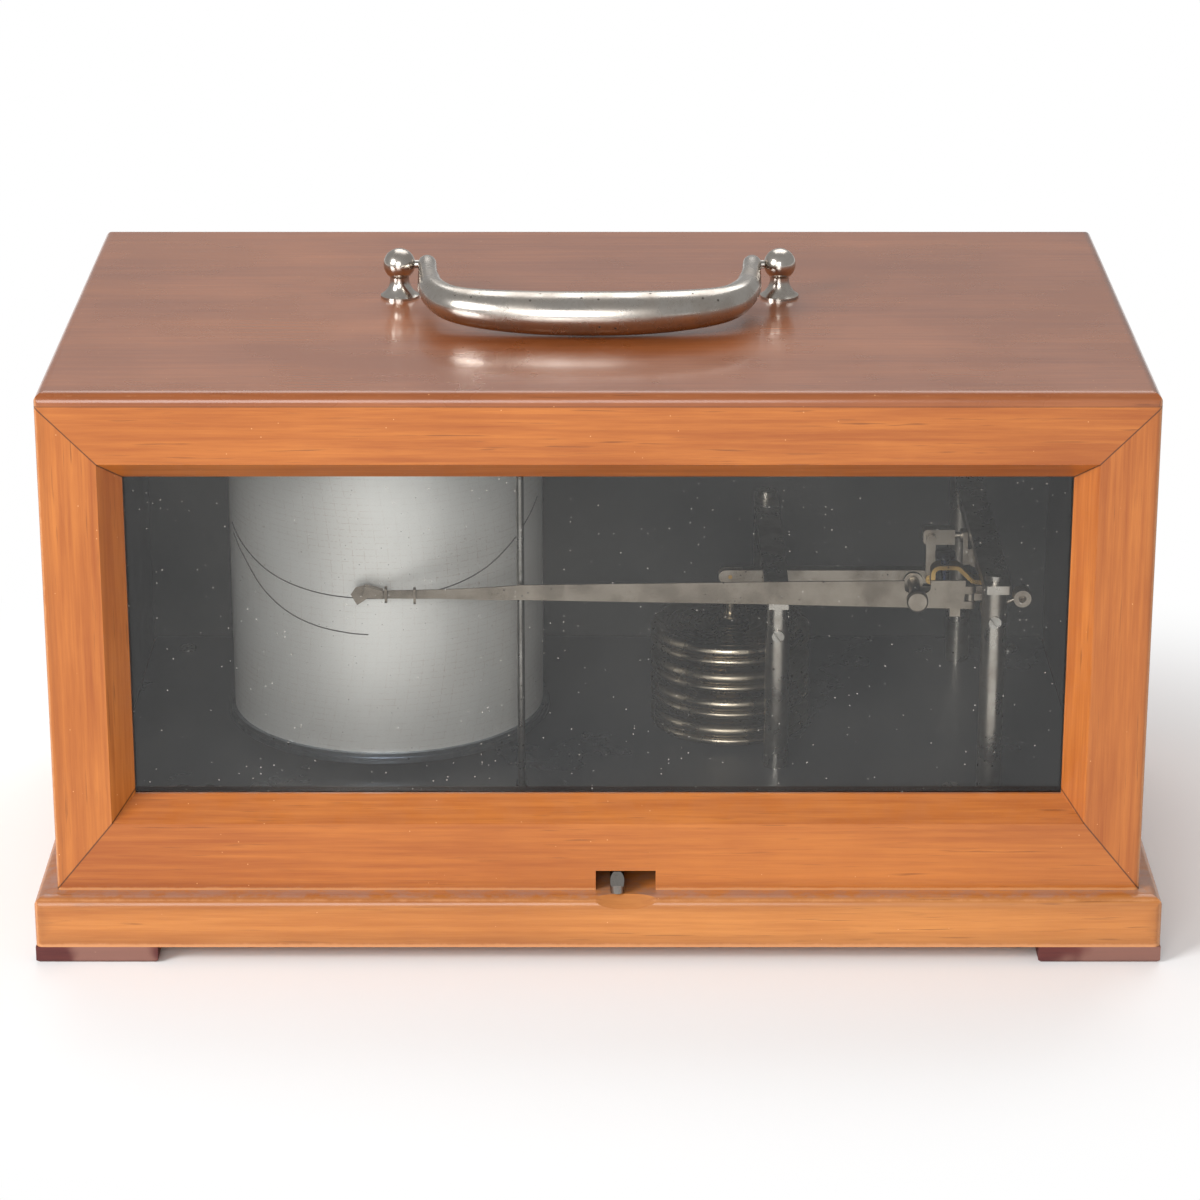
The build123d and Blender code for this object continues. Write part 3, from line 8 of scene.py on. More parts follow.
import bmesh
import bpy
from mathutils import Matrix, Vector


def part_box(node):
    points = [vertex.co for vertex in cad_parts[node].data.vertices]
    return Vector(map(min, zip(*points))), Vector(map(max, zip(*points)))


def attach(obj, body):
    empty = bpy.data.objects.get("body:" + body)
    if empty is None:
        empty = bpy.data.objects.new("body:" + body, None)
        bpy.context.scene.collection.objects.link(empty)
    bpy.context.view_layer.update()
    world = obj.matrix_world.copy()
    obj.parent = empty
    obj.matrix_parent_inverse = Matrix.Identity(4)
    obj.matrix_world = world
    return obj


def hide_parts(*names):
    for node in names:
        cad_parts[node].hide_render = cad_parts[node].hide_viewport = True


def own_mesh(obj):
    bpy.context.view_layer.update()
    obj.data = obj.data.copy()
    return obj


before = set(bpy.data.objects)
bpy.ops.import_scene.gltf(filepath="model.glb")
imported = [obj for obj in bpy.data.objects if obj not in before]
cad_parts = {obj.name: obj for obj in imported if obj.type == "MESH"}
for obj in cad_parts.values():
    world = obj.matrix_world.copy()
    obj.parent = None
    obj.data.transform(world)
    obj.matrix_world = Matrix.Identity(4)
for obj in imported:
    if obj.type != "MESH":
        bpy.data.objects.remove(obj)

log = logging.getLogger("barograph")

MM = 0.001
RGB = tuple[float, float, float]
Point = tuple[float, float, float]


class Axis(Enum):
    """Way the grain of a board runs."""

    X = 0
    Y = 1
    Z = 2


def middle(node: str) -> Vector:
    """Middle of a CAD node's box, in metres."""
    low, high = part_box(node)
    return (low + high) / 2


@dataclass(frozen=True)
class Box:
    """Upright box by its lowest and highest corner, in metres."""

    low: Point
    high: Point

    @property
    def centre(self) -> Point:
        """Middle of the box."""
        return tuple((a + b) / 2 for a, b in zip(self.low, self.high))

    @property
    def half(self) -> Point:
        """Half size of the box."""
        return tuple((b - a) / 2 for a, b in zip(self.low, self.high))


@dataclass
class CaseSizes:
    """Boxes of cover and plinth, read from the frame, and the front frame's face widths, in metres."""

    stile: float = 0.0161
    top_rail: float = 0.0163
    bottom_rail: float = 0.0199
    plinth: Box = field(init=False)
    cover: Box = field(init=False)
    lip: float = field(init=False)

    def __post_init__(self) -> None:
        """Read the boxes and the height of the top's lip."""
        stile_low, stile_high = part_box("left_stile")
        top_low, top_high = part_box("top_board")
        self.plinth = Box(*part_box("base_plinth"))
        self.cover = Box((top_low.x, top_low.y, stile_low.z), tuple(top_high))
        self.lip = stile_high.z


@dataclass
class DrumSizes:
    """Drum's axis, its paper and the pen's pivot, read from the frame, and the pen's reach, in metres."""

    pen_reach: float = 0.180
    x: float = field(init=False)
    y: float = field(init=False)
    radius: float = field(init=False)
    pivot_z: float = field(init=False)

    def __post_init__(self) -> None:
        """Read the places."""
        paper = Box(*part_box("chart_paper"))
        self.x, self.y, _ = paper.centre
        self.radius = paper.half[0]
        self.pivot_z = middle("pen_arbor").z


def srgb(red: int, green: int, blue: int) -> RGB:
    """Linear colour of a display colour.

    Args:
        red: red in steps of 255.
        green: green in steps of 255.
        blue: blue in steps of 255.

    Returns:
        The colour as a shader takes it.
    """
    linear = []
    for value in (red, green, blue):
        share = value / 255
        linear.append(share / 12.92 if share <= 0.04045 else ((share + 0.055) / 1.055) ** 2.4)
    return (linear[0], linear[1], linear[2])


class Tree:
    """Writes one node tree with short, typed calls."""

    def __init__(self, tree: bpy.types.NodeTree) -> None:
        """Start from a tree, whose nodes are made one by one."""
        self.tree = tree

    def node(self, kind: str, **settings: object) -> bpy.types.Node:
        """Add a node.

        Args:
            kind: the node's type.
            settings: its properties by name.

        Returns:
            The new node.
        """
        made = self.tree.nodes.new(kind)
        for name, value in settings.items():
            setattr(made, name, value)
        return made

    def feed(self, socket: bpy.types.NodeSocket, value: object) -> None:
        """Link a socket, or set its own value.

        Args:
            socket: the input to feed.
            value: a socket to link, or a plain value.
        """
        if isinstance(value, bpy.types.NodeSocket):
            self.tree.links.new(value, socket)
        elif isinstance(value, tuple) and socket.type == "RGBA" and len(value) == 3:
            socket.default_value = (*value, 1.0)
        else:
            socket.default_value = value

    def math(self, operation: str, *values: object) -> bpy.types.NodeSocket:
        """Work out one number.

        Args:
            operation: the operation's name.
            values: what it works on, in order.

        Returns:
            The result.
        """
        made = self.node("ShaderNodeMath", operation=operation)
        for socket, value in zip(made.inputs, values):
            self.feed(socket, value)
        return made.outputs[0]

    def vector(self, operation: str, *values: object) -> bpy.types.NodeSocket:
        """Work with vectors.

        Args:
            operation: the operation's name.
            values: what it works on, in order.

        Returns:
            The result, a vector or, for a length, a number.
        """
        made = self.node("ShaderNodeVectorMath", operation=operation)
        for socket, value in zip(made.inputs, values):
            self.feed(socket, value)
        return made.outputs["Value" if operation == "LENGTH" else "Vector"]

    def noise(
        self, vector: object, scale: object, detail: float = 3.0, rough: float = 0.5
    ) -> bpy.types.NodeSocket:
        """Grey noise between 0 and 1.

        Args:
            vector: the place.
            scale: waves in a metre.
            detail: how many finer layers are added.
            rough: weight of the finer layers.

        Returns:
            The noise.
        """
        made = self.node("ShaderNodeTexNoise")
        self.feed(made.inputs["Vector"], vector)
        self.feed(made.inputs["Scale"], scale)
        made.inputs["Detail"].default_value = detail
        made.inputs["Roughness"].default_value = rough
        return made.outputs["Fac"]

    def split(self, vector: object) -> list[bpy.types.NodeSocket]:
        """The x, y and z of a vector."""
        made = self.node("ShaderNodeSeparateXYZ")
        self.feed(made.inputs[0], vector)
        return list(made.outputs)

    def step(self, value: object, low: object, high: object) -> bpy.types.NodeSocket:
        """Smooth step.

        Args:
            value: what is stepped.
            low: value that gives 0.
            high: value that gives 1.

        Returns:
            A number from 0 to 1.
        """
        made = self.node("ShaderNodeMapRange", interpolation_type="SMOOTHSTEP")
        self.feed(made.inputs["Value"], value)
        self.feed(made.inputs["From Min"], low)
        self.feed(made.inputs["From Max"], high)
        return made.outputs["Result"]

    def mix(self, share: object, first: object, second: object) -> bpy.types.NodeSocket:
        """Colour between two.

        Args:
            share: share of the second.
            first: colour at share 0.
            second: colour at share 1.

        Returns:
            The mixed colour.
        """
        made = self.node("ShaderNodeMix", data_type="RGBA")
        self.feed(made.inputs[0], share)
        self.feed(made.inputs[6], first)
        self.feed(made.inputs[7], second)
        return made.outputs[2]

    def blend(self, share: object, first: object, second: object) -> bpy.types.NodeSocket:
        """Number between two.

        Args:
            share: share of the second.
            first: number at share 0.
            second: number at share 1.

        Returns:
            The blended number.
        """
        made = self.node("ShaderNodeMix", data_type="FLOAT")
        self.feed(made.inputs[0], share)
        self.feed(made.inputs[2], first)
        self.feed(made.inputs[3], second)
        return made.outputs[0]

    def group(self, tree: bpy.types.NodeTree, **values: object) -> bpy.types.Node:
        """Use a shared group.

        Args:
            tree: the group.
            values: its inputs by name, with _ for spaces.

        Returns:
            The group's node.
        """
        made = self.node("ShaderNodeGroup")
        made.node_tree = tree
        for name, value in values.items():
            self.feed(made.inputs[name.replace("_", " ")], value)
        return made


@dataclass(frozen=True)
class Input:
    """One named input of a node group."""

    name: str
    kind: str
    value: object = None


class Effect:
    """A shared shader effect: a node group that is written once and used by many finishes."""

    def __init__(self, name: str, inputs: list[Input], outputs: list[Input]) -> None:
        """Make the group with its sockets.

        Args:
            name: the group's name.
            inputs: its inputs.
            outputs: its outputs.
        """
        self.group = bpy.data.node_groups.new(name, "ShaderNodeTree")
        for entry in inputs:
            self._socket(entry, "INPUT")
        for entry in outputs:
            self._socket(entry, "OUTPUT")
        self.draw = Tree(self.group)
        self.source = self.draw.node("NodeGroupInput").outputs
        self.result = self.draw.node("NodeGroupOutput").inputs

    def _socket(self, entry: Input, way: str) -> None:
        """Add one socket to the group's interface.

        Args:
            entry: name, kind and value of the socket.
            way: INPUT or OUTPUT.
        """
        made = self.group.interface.new_socket(
            name=entry.name, in_out=way, socket_type=f"NodeSocket{entry.kind}"
        )
        if entry.value is not None:
            made.default_value = entry.value


def wood_grain() -> bpy.types.NodeTree:
    """Fine straight grain with short dark pores, broad figure and a soft height.

    Returns:
        The node group.
    """
    effect = Effect(
        "Wood Grain",
        [
            Input("Vector", "Vector"),
            Input("Light", "Color"),
            Input("Dark", "Color"),
            Input("Pore", "Color"),
            Input("Figure", "Float", 0.5),
        ],
        [Input("Color", "Color"), Input("Height", "Float"), Input("Pores", "Float")],
    )
    draw, source = effect.draw, effect.source
    broad = draw.noise(draw.vector("MULTIPLY", source["Vector"], (2.0, 14.0, 14.0)), 3.0)
    cloud = draw.noise(source["Vector"], 9.0, detail=2.0)
    along = draw.vector("MULTIPLY", source["Vector"], (14.0, 420.0, 420.0))
    streak = draw.noise(along, 1.6, detail=5.0, rough=0.65)
    narrow = draw.vector("MULTIPLY", source["Vector"], (60.0, 1500.0, 1500.0))
    fine = draw.noise(narrow, 1.0, detail=2.0)
    figure = draw.math("ADD", draw.math("MULTIPLY", broad, 0.6), draw.math("MULTIPLY", cloud, 0.4))
    tone = draw.blend(source["Figure"], streak, figure)
    base = draw.mix(draw.step(tone, 0.30, 0.70), source["Dark"], source["Light"])
    pores = draw.math("MULTIPLY", draw.step(fine, 0.60, 0.74), draw.step(streak, 0.42, 0.62))
    shade = draw.mix(draw.math("MULTIPLY", pores, 0.55), base, source["Pore"])
    draw.feed(effect.result["Color"], shade)
    height = draw.math("SUBTRACT", draw.math("MULTIPLY", streak, 0.4), pores)
    draw.feed(effect.result["Height"], height)
    draw.feed(effect.result["Pores"], pores)
    return effect.group


def edge_wear() -> bpy.types.NodeTree:
    """Broken wear along the edges of a box given by its centre and half size.

    Returns:
        The node group.
    """
    effect = Effect(
        "Edge Wear",
        [
            Input("Vector", "Vector"),
            Input("Centre", "Vector"),
            Input("Half", "Vector"),
            Input("Width", "Float", 0.002),
            Input("Cover", "Float", 0.5),
        ],
        [Input("Mask", "Float"), Input("Soft", "Float")],
    )
    draw, source = effect.draw, effect.source
    away = draw.vector("ABSOLUTE", draw.vector("SUBTRACT", source["Vector"], source["Centre"]))
    x, y, z = draw.split(draw.vector("SUBTRACT", away, source["Half"]))
    high = draw.math("MAXIMUM", x, y)
    low = draw.math("MINIMUM", x, y)
    second = draw.math("MAXIMUM", low, draw.math("MINIMUM", high, z))
    ragged = draw.noise(source["Vector"], 260.0, detail=5.0, rough=0.7)
    patch = draw.noise(source["Vector"], 38.0)
    reach = draw.math("MULTIPLY", source["Width"], draw.math("ADD", ragged, 0.35))
    near = draw.step(second, draw.math("MULTIPLY", reach, -1.0), draw.math("MULTIPLY", reach, -0.35))
    bare = draw.math("SUBTRACT", 0.72, source["Cover"])
    patchy = draw.step(patch, bare, draw.math("SUBTRACT", 0.84, source["Cover"]))
    draw.feed(effect.result["Mask"], draw.math("MULTIPLY", near, patchy))
    draw.feed(effect.result["Soft"], draw.step(second, draw.math("MULTIPLY", source["Width"], -4.0), 0.0))
    return effect.group


def specks() -> bpy.types.NodeTree:
    """Scattered small specks, such as dust, nicks or pits, with clouds of more and fewer.

    Returns:
        The node group.
    """
    effect = Effect(
        "Specks",
        [
            Input("Vector", "Vector"),
            Input("Scale", "Float", 600.0),
            Input("Size", "Float", 0.16),
            Input("Amount", "Float", 0.5),
        ],
        [Input("Mask", "Float")],
    )
    draw, source = effect.draw, effect.source
    cells = draw.node("ShaderNodeTexVoronoi", feature="F1")
    draw.feed(cells.inputs["Vector"], source["Vector"])
    draw.feed(cells.inputs["Scale"], source["Scale"])
    dots = draw.step(cells.outputs["Distance"], source["Size"], draw.math("MULTIPLY", source["Size"], 0.5))
    pick = draw.split(cells.outputs["Color"])[0]
    clouds = draw.math("MULTIPLY", draw.noise(source["Vector"], 45.0), source["Amount"])
    chosen = draw.math("LESS_THAN", pick, clouds)
    draw.feed(effect.result["Mask"], draw.math("MULTIPLY", dots, chosen))
    return effect.group


def smudges() -> bpy.types.NodeTree:
    """Large soft changes of roughness, as of hands and cloths.

    Returns:
        The node group.
    """
    effect = Effect(
        "Smudges",
        [Input("Vector", "Vector"), Input("Scale", "Float", 30.0)],
        [Input("Mask", "Float")],
    )
    draw, source = effect.draw, effect.source
    large = draw.noise(source["Vector"], source["Scale"], detail=4.0, rough=0.6)
    draw.feed(effect.result["Mask"], draw.step(large, 0.35, 0.7))
    return effect.group


def seam_lines(sizes: CaseSizes) -> bpy.types.NodeTree:
    """Thin dark lines of the front frame's four mitres and of the joint under the top's lip.

    Args:
        sizes: the case's sizes.

    Returns:
        The node group.
    """
    mitre_spread = 0.0125
    line_fades = 1.45
    line_ends = 1.6
    effect = Effect(
        "Seam Lines",
        [
            Input("Vector", "Vector"),
            Input("Half Width", "Float", sizes.cover.half[0]),
            Input("Stile", "Float", sizes.stile),
            Input("Top", "Float", sizes.lip),
            Input("Top Rail", "Float", sizes.top_rail),
            Input("Bottom", "Float", sizes.cover.low[2]),
            Input("Bottom Rail", "Float", sizes.bottom_rail),
            Input("Width", "Float", 0.00035),
        ],
        [Input("Mask", "Float")],
    )
    draw, source = effect.draw, effect.source
    x, _, z = draw.split(source["Vector"])
    wobble = draw.math("MULTIPLY", draw.noise(source["Vector"], 300.0, detail=2.0), 0.5)
    width = draw.math("MULTIPLY", source["Width"], draw.math("ADD", wobble, 0.75))
    inward = draw.math("SUBTRACT", source["Half Width"], draw.math("ABSOLUTE", x))
    across = draw.math("DIVIDE", inward, source["Stile"])
    lip = draw.math("ABSOLUTE", draw.math("SUBTRACT", z, source["Top"]))
    mask = draw.step(lip, width, 0.0)
    for level, rail, sign in (("Top", "Top Rail", 1.0), ("Bottom", "Bottom Rail", -1.0)):
        drop = draw.math("MULTIPLY", draw.math("SUBTRACT", source[level], z), sign)
        down = draw.math("DIVIDE", drop, source[rail])
        off = draw.math("ABSOLUTE", draw.math("SUBTRACT", across, down))
        mitre = draw.step(draw.math("MULTIPLY", off, mitre_spread), width, 0.0)
        mitre = draw.math("MULTIPLY", mitre, draw.step(down, line_ends, line_fades))
        mask = draw.math("MAXIMUM", mask, mitre)
    draw.feed(effect.result["Mask"], mask)
    return effect.group


class Effects:
    """The shared effects, each made once."""

    def __init__(self, sizes: CaseSizes) -> None:
        """Build all the groups.

        Args:
            sizes: the case's sizes, for its seams.
        """
        self.grain = wood_grain()
        self.wear = edge_wear()
        self.specks = specks()
        self.smudges = smudges()
        self.seams = seam_lines(sizes)


@dataclass
class Surface:
    """A material being written: its tree, its shader and its object coordinates."""

    name: str
    material: bpy.types.Material = field(init=False)
    draw: Tree = field(init=False)
    shader: bpy.types.Node = field(init=False)
    place: bpy.types.NodeSocket = field(init=False)

    def __post_init__(self) -> None:
        """Make an empty material with one Principled shader."""
        self.material = bpy.data.materials.new(self.name)
        self.material.use_nodes = True
        self.draw = Tree(self.material.node_tree)
        self.shader = self.material.node_tree.nodes["Principled BSDF"]
        self.place = self.draw.node("ShaderNodeTexCoord").outputs["Object"]

    def put(self, **values: object) -> None:
        """Set or link inputs of the shader, given by name with _ for spaces."""
        for name, value in values.items():
            self.draw.feed(self.shader.inputs[name.replace("_", " ")], value)

    def bump(self, height: object, strength: float, distance: float) -> None:
        """Give the surface a height.

        Args:
            height: the height's shape.
            strength: share of the height that shows.
            distance: metres for a height of 1.
        """
        made = self.draw.node("ShaderNodeBump")
        made.inputs["Strength"].default_value = strength
        made.inputs["Distance"].default_value = distance
        self.draw.feed(made.inputs["Height"], height)
        self.draw.feed(self.shader.inputs["Normal"], made.outputs["Normal"])


@dataclass(frozen=True)
class WoodFinish:
    """Varnished wood with grain along one axis, worn at the edges of a box."""

    name: str
    light: RGB
    dark: RGB
    pore: RGB
    worn: RGB
    grain: Axis
    box: Box
    wear: float = 0.5
    wear_width: float = 0.0011
    roughness: float = 0.34
    coat: float = 0.35
    figure: float = 0.5
    grime: float = 0.18
    nicks: float = 0.3
    seams: float = 0.0
    dust: float = 0.0

    def build(self, effects: Effects) -> bpy.types.Material:
        """Write the material.

        Args:
            effects: the shared node groups.

        Returns:
            The finished material.
        """
        surface = Surface(self.name)
        draw, place = surface.draw, surface.place
        ways = draw.split(place)
        along = draw.node("ShaderNodeCombineXYZ")
        order = [self.grain.value] + [i for i in range(3) if i != self.grain.value]
        for socket, index in zip(along.inputs, order):
            draw.feed(socket, ways[index])
        grain = draw.group(
            effects.grain, Vector=along.outputs[0], Light=self.light, Dark=self.dark, Pore=self.pore,
            Figure=self.figure,
        )
        wear = draw.group(
            effects.wear, Vector=place, Centre=self.box.centre, Half=self.box.half,
            Width=self.wear_width, Cover=self.wear,
        )
        nicks = draw.group(effects.specks, Vector=place, Scale=420.0, Size=0.09, Amount=self.nicks)
        seams = draw.group(effects.seams, Vector=place)
        stains = draw.group(effects.smudges, Vector=place, Scale=26.0)
        stained = draw.mix(
            draw.math("MULTIPLY", draw.math("SUBTRACT", 1.0, stains.outputs["Mask"]), 0.22),
            grain.outputs["Color"], self.dark,
        )
        grimy = draw.mix(draw.math("MULTIPLY", wear.outputs["Soft"], self.grime), stained, self.pore)
        nicked = draw.mix(nicks.outputs["Mask"], grimy, self.worn)
        worn = draw.mix(draw.math("MULTIPLY", wear.outputs["Mask"], 0.6), nicked, self.worn)
        seamed = draw.mix(draw.math("MULTIPLY", seams.outputs["Mask"], self.seams), worn, srgb(48, 22, 10))
        facing = draw.split(draw.node("ShaderNodeTexCoord").outputs["Normal"])
        upward = draw.step(facing[2], 0.75, 0.97)
        patches = draw.step(draw.noise(place, 140.0, detail=4.0, rough=0.7), 0.35, 0.6)
        lying = draw.math("MULTIPLY", upward, patches)
        dusty = draw.mix(draw.math("MULTIPLY", lying, self.dust), seamed, srgb(158, 128, 118))
        rough = draw.blend(stains.outputs["Mask"], self.roughness - 0.05, self.roughness + 0.07)
        rough = draw.blend(wear.outputs["Mask"], rough, 0.7)
        surface.put(
            Base_Color=dusty, Roughness=rough, Coat_Weight=self.coat, Coat_Roughness=0.12,
            Specular_IOR_Level=0.4,
        )
        surface.bump(grain.outputs["Height"], strength=0.35, distance=0.00004)
        return surface.material


@dataclass(frozen=True)
class MetalFinish:
    """Metal with tarnish in clouds, small pits and a soft change of polish."""

    name: str
    colour: RGB
    tarnish: RGB
    roughness: float = 0.28
    tarnish_share: float = 0.4
    pits: float = 0.35
    pit_scale: float = 420.0
    metallic: float = 1.0
    streak: Axis | None = None

    def build(self, effects: Effects) -> bpy.types.Material:
        """Write the material.

        Args:
            effects: the shared node groups.

        Returns:
            The finished material.
        """
        surface = Surface(self.name)
        draw, place = surface.draw, surface.place
        clouds = draw.group(effects.smudges, Vector=place, Scale=90.0)
        fine = draw.noise(place, 900.0, detail=4.0, rough=0.7)
        pits = draw.group(
            effects.specks, Vector=place, Scale=self.pit_scale, Size=0.2, Amount=self.pits
        )
        share = draw.math("MULTIPLY", clouds.outputs["Mask"], self.tarnish_share)
        share = draw.math("ADD", share, draw.math("MULTIPLY", draw.step(fine, 0.5, 0.8), 0.25))
        colour = draw.mix(share, self.colour, self.tarnish)
        colour = draw.mix(draw.math("MULTIPLY", pits.outputs["Mask"], 0.75), colour, srgb(38, 30, 24))
        rough = draw.blend(clouds.outputs["Mask"], self.roughness - 0.05, self.roughness + 0.12)
        rough = draw.math("ADD", rough, draw.math("MULTIPLY", pits.outputs["Mask"], 0.3))
        height = draw.math("MULTIPLY", pits.outputs["Mask"], -1.0)
        if self.streak is not None:
            stretch = [2200.0, 2200.0, 2200.0]
            stretch[self.streak.value] = 40.0
            lines = draw.noise(draw.vector("MULTIPLY", place, tuple(stretch)), 1.0, detail=2.0)
            rough = draw.math("ADD", rough, draw.math("MULTIPLY", lines, 0.12))
            height = draw.math("ADD", height, draw.math("MULTIPLY", lines, 0.3))
        surface.put(Base_Color=colour, Roughness=rough, Metallic=self.metallic)
        surface.bump(height, strength=0.4, distance=0.00003)
        return surface.material


@dataclass(frozen=True)
class PaintFinish:
    """Dark paint or inner shell, with dust specks and soft smudges; on the inner shell the black is partly
    painted shade.
    """

    name: str
    colour: RGB
    dust: RGB
    roughness: float
    dust_amount: float
    smudge: float = 0.12
    dust_scale: float = 700.0

    def build(self, effects: Effects) -> bpy.types.Material:
        """Write the material.

        Args:
            effects: the shared node groups.

        Returns:
            The finished material.
        """
        surface = Surface(self.name)
        draw, place = surface.draw, surface.place
        dust = draw.group(
            effects.specks, Vector=place, Scale=self.dust_scale, Size=0.2, Amount=self.dust_amount
        )
        film = draw.group(effects.smudges, Vector=place, Scale=22.0)
        base = draw.mix(draw.math("MULTIPLY", film.outputs["Mask"], 0.12), self.colour, self.dust)
        surface.put(
            Base_Color=draw.mix(dust.outputs["Mask"], base, self.dust),
            Roughness=draw.blend(
                dust.outputs["Mask"],
                draw.blend(film.outputs["Mask"], self.roughness, self.roughness + self.smudge), 0.9,
            ),
        )
        surface.bump(draw.noise(place, 60.0, detail=2.0), strength=0.15, distance=0.00008)
        return surface.material


@dataclass(frozen=True)
class ChartFinish:
    """Coated chart paper on the drum: printed time arcs and pressure lines, faded and stained."""

    name: str
    drum: DrumSizes
    line_pitch: float = 0.0019
    arc_turn: float = math.radians(4.2)
    paper: RGB = srgb(232, 230, 226)
    ink: RGB = srgb(150, 116, 92)

    def build(self, effects: Effects) -> bpy.types.Material:
        """Write the material.

        Args:
            effects: the shared node groups.

        Returns:
            The finished material.
        """
        surface = Surface(self.name)
        draw, place = surface.draw, surface.place
        drum = self.drum
        x, y, z = draw.split(draw.vector("SUBTRACT", place, (drum.x, drum.y, 0.0)))
        turn = draw.math("ARCTAN2", x, draw.math("MULTIPLY", y, -1.0))
        level = draw.math("SUBTRACT", z, drum.pivot_z)
        square = draw.math("MULTIPLY", level, level)
        sag = draw.math("DIVIDE", square, 2 * drum.pen_reach * drum.radius)
        arc = draw.math("DIVIDE", draw.math("ADD", turn, sag), self.arc_turn)
        arcs = self._lines(draw, arc, 0.035)
        rows = self._lines(draw, draw.math("DIVIDE", z, self.line_pitch), 0.06)
        dots = draw.step(draw.noise(place, 1400.0, detail=2.0), 0.42, 0.58)
        faded = draw.step(draw.noise(place, 40.0), 0.3, 0.75)
        lines = draw.math("MULTIPLY", draw.math("MAXIMUM", rows, arcs), dots)
        lines = draw.math("MULTIPLY", lines, draw.blend(faded, 0.12, 0.4))
        spots = draw.group(effects.specks, Vector=place, Scale=260.0, Size=0.12, Amount=0.35)
        base = draw.mix(draw.math("MULTIPLY", faded, 0.25), self.paper, srgb(205, 198, 190))
        printed = draw.mix(lines, base, self.ink)
        spotted = draw.mix(draw.math("MULTIPLY", spots.outputs["Mask"], 0.35), printed, srgb(140, 120, 100))
        surface.put(Base_Color=spotted, Roughness=0.42, Metallic=0.35, Specular_IOR_Level=0.5)
        surface.bump(draw.noise(place, 500.0), strength=0.2, distance=0.00004)
        return surface.material

    def _lines(self, draw: Tree, value: object, width: float) -> bpy.types.NodeSocket:
        """Thin lines at the whole numbers of a value."""
        share = draw.math("ABSOLUTE", draw.math("SUBTRACT", draw.math("FRACT", value), 0.5))
        return draw.step(share, 0.5 - width, 0.5 - width * 0.4)


@dataclass(frozen=True)
class GlassFinish:
    """Clear pane with a faint film and specks of dust, seen through without bending."""

    name: str

    def build(self, effects: Effects) -> bpy.types.Material:
        """Write the material.

        Args:
            effects: the shared node groups.

        Returns:
            The finished material.
        """
        surface = Surface(self.name)
        draw, place = surface.draw, surface.place
        dust = draw.group(effects.specks, Vector=place, Scale=520.0, Size=0.13, Amount=0.5)
        film = draw.group(effects.smudges, Vector=place, Scale=18.0)
        bend = draw.node("ShaderNodeFresnel")
        bend.inputs["IOR"].default_value = 1.45
        clear = draw.node("ShaderNodeBsdfTransparent")
        clear.inputs["Color"].default_value = (0.985, 0.99, 0.985, 1.0)
        shine = draw.node("ShaderNodeBsdfGlossy")
        shine.inputs["Roughness"].default_value = 0.03
        pane = draw.node("ShaderNodeMixShader")
        draw.feed(pane.inputs[0], bend.outputs[0])
        draw.feed(pane.inputs[1], clear.outputs[0])
        draw.feed(pane.inputs[2], shine.outputs[0])
        surface.put(Base_Color=srgb(205, 200, 192), Roughness=0.9)
        dirty = draw.node("ShaderNodeMixShader")
        share = draw.math("MULTIPLY", dust.outputs["Mask"], 0.5)
        share = draw.math("ADD", share, draw.math("MULTIPLY", film.outputs["Mask"], 0.012))
        draw.feed(dirty.inputs[0], share)
        draw.feed(dirty.inputs[1], pane.outputs[0])
        draw.feed(dirty.inputs[2], surface.shader.outputs[0])
        output = surface.material.node_tree.nodes["Material Output"]
        draw.feed(output.inputs["Surface"], dirty.outputs[0])
        return surface.material


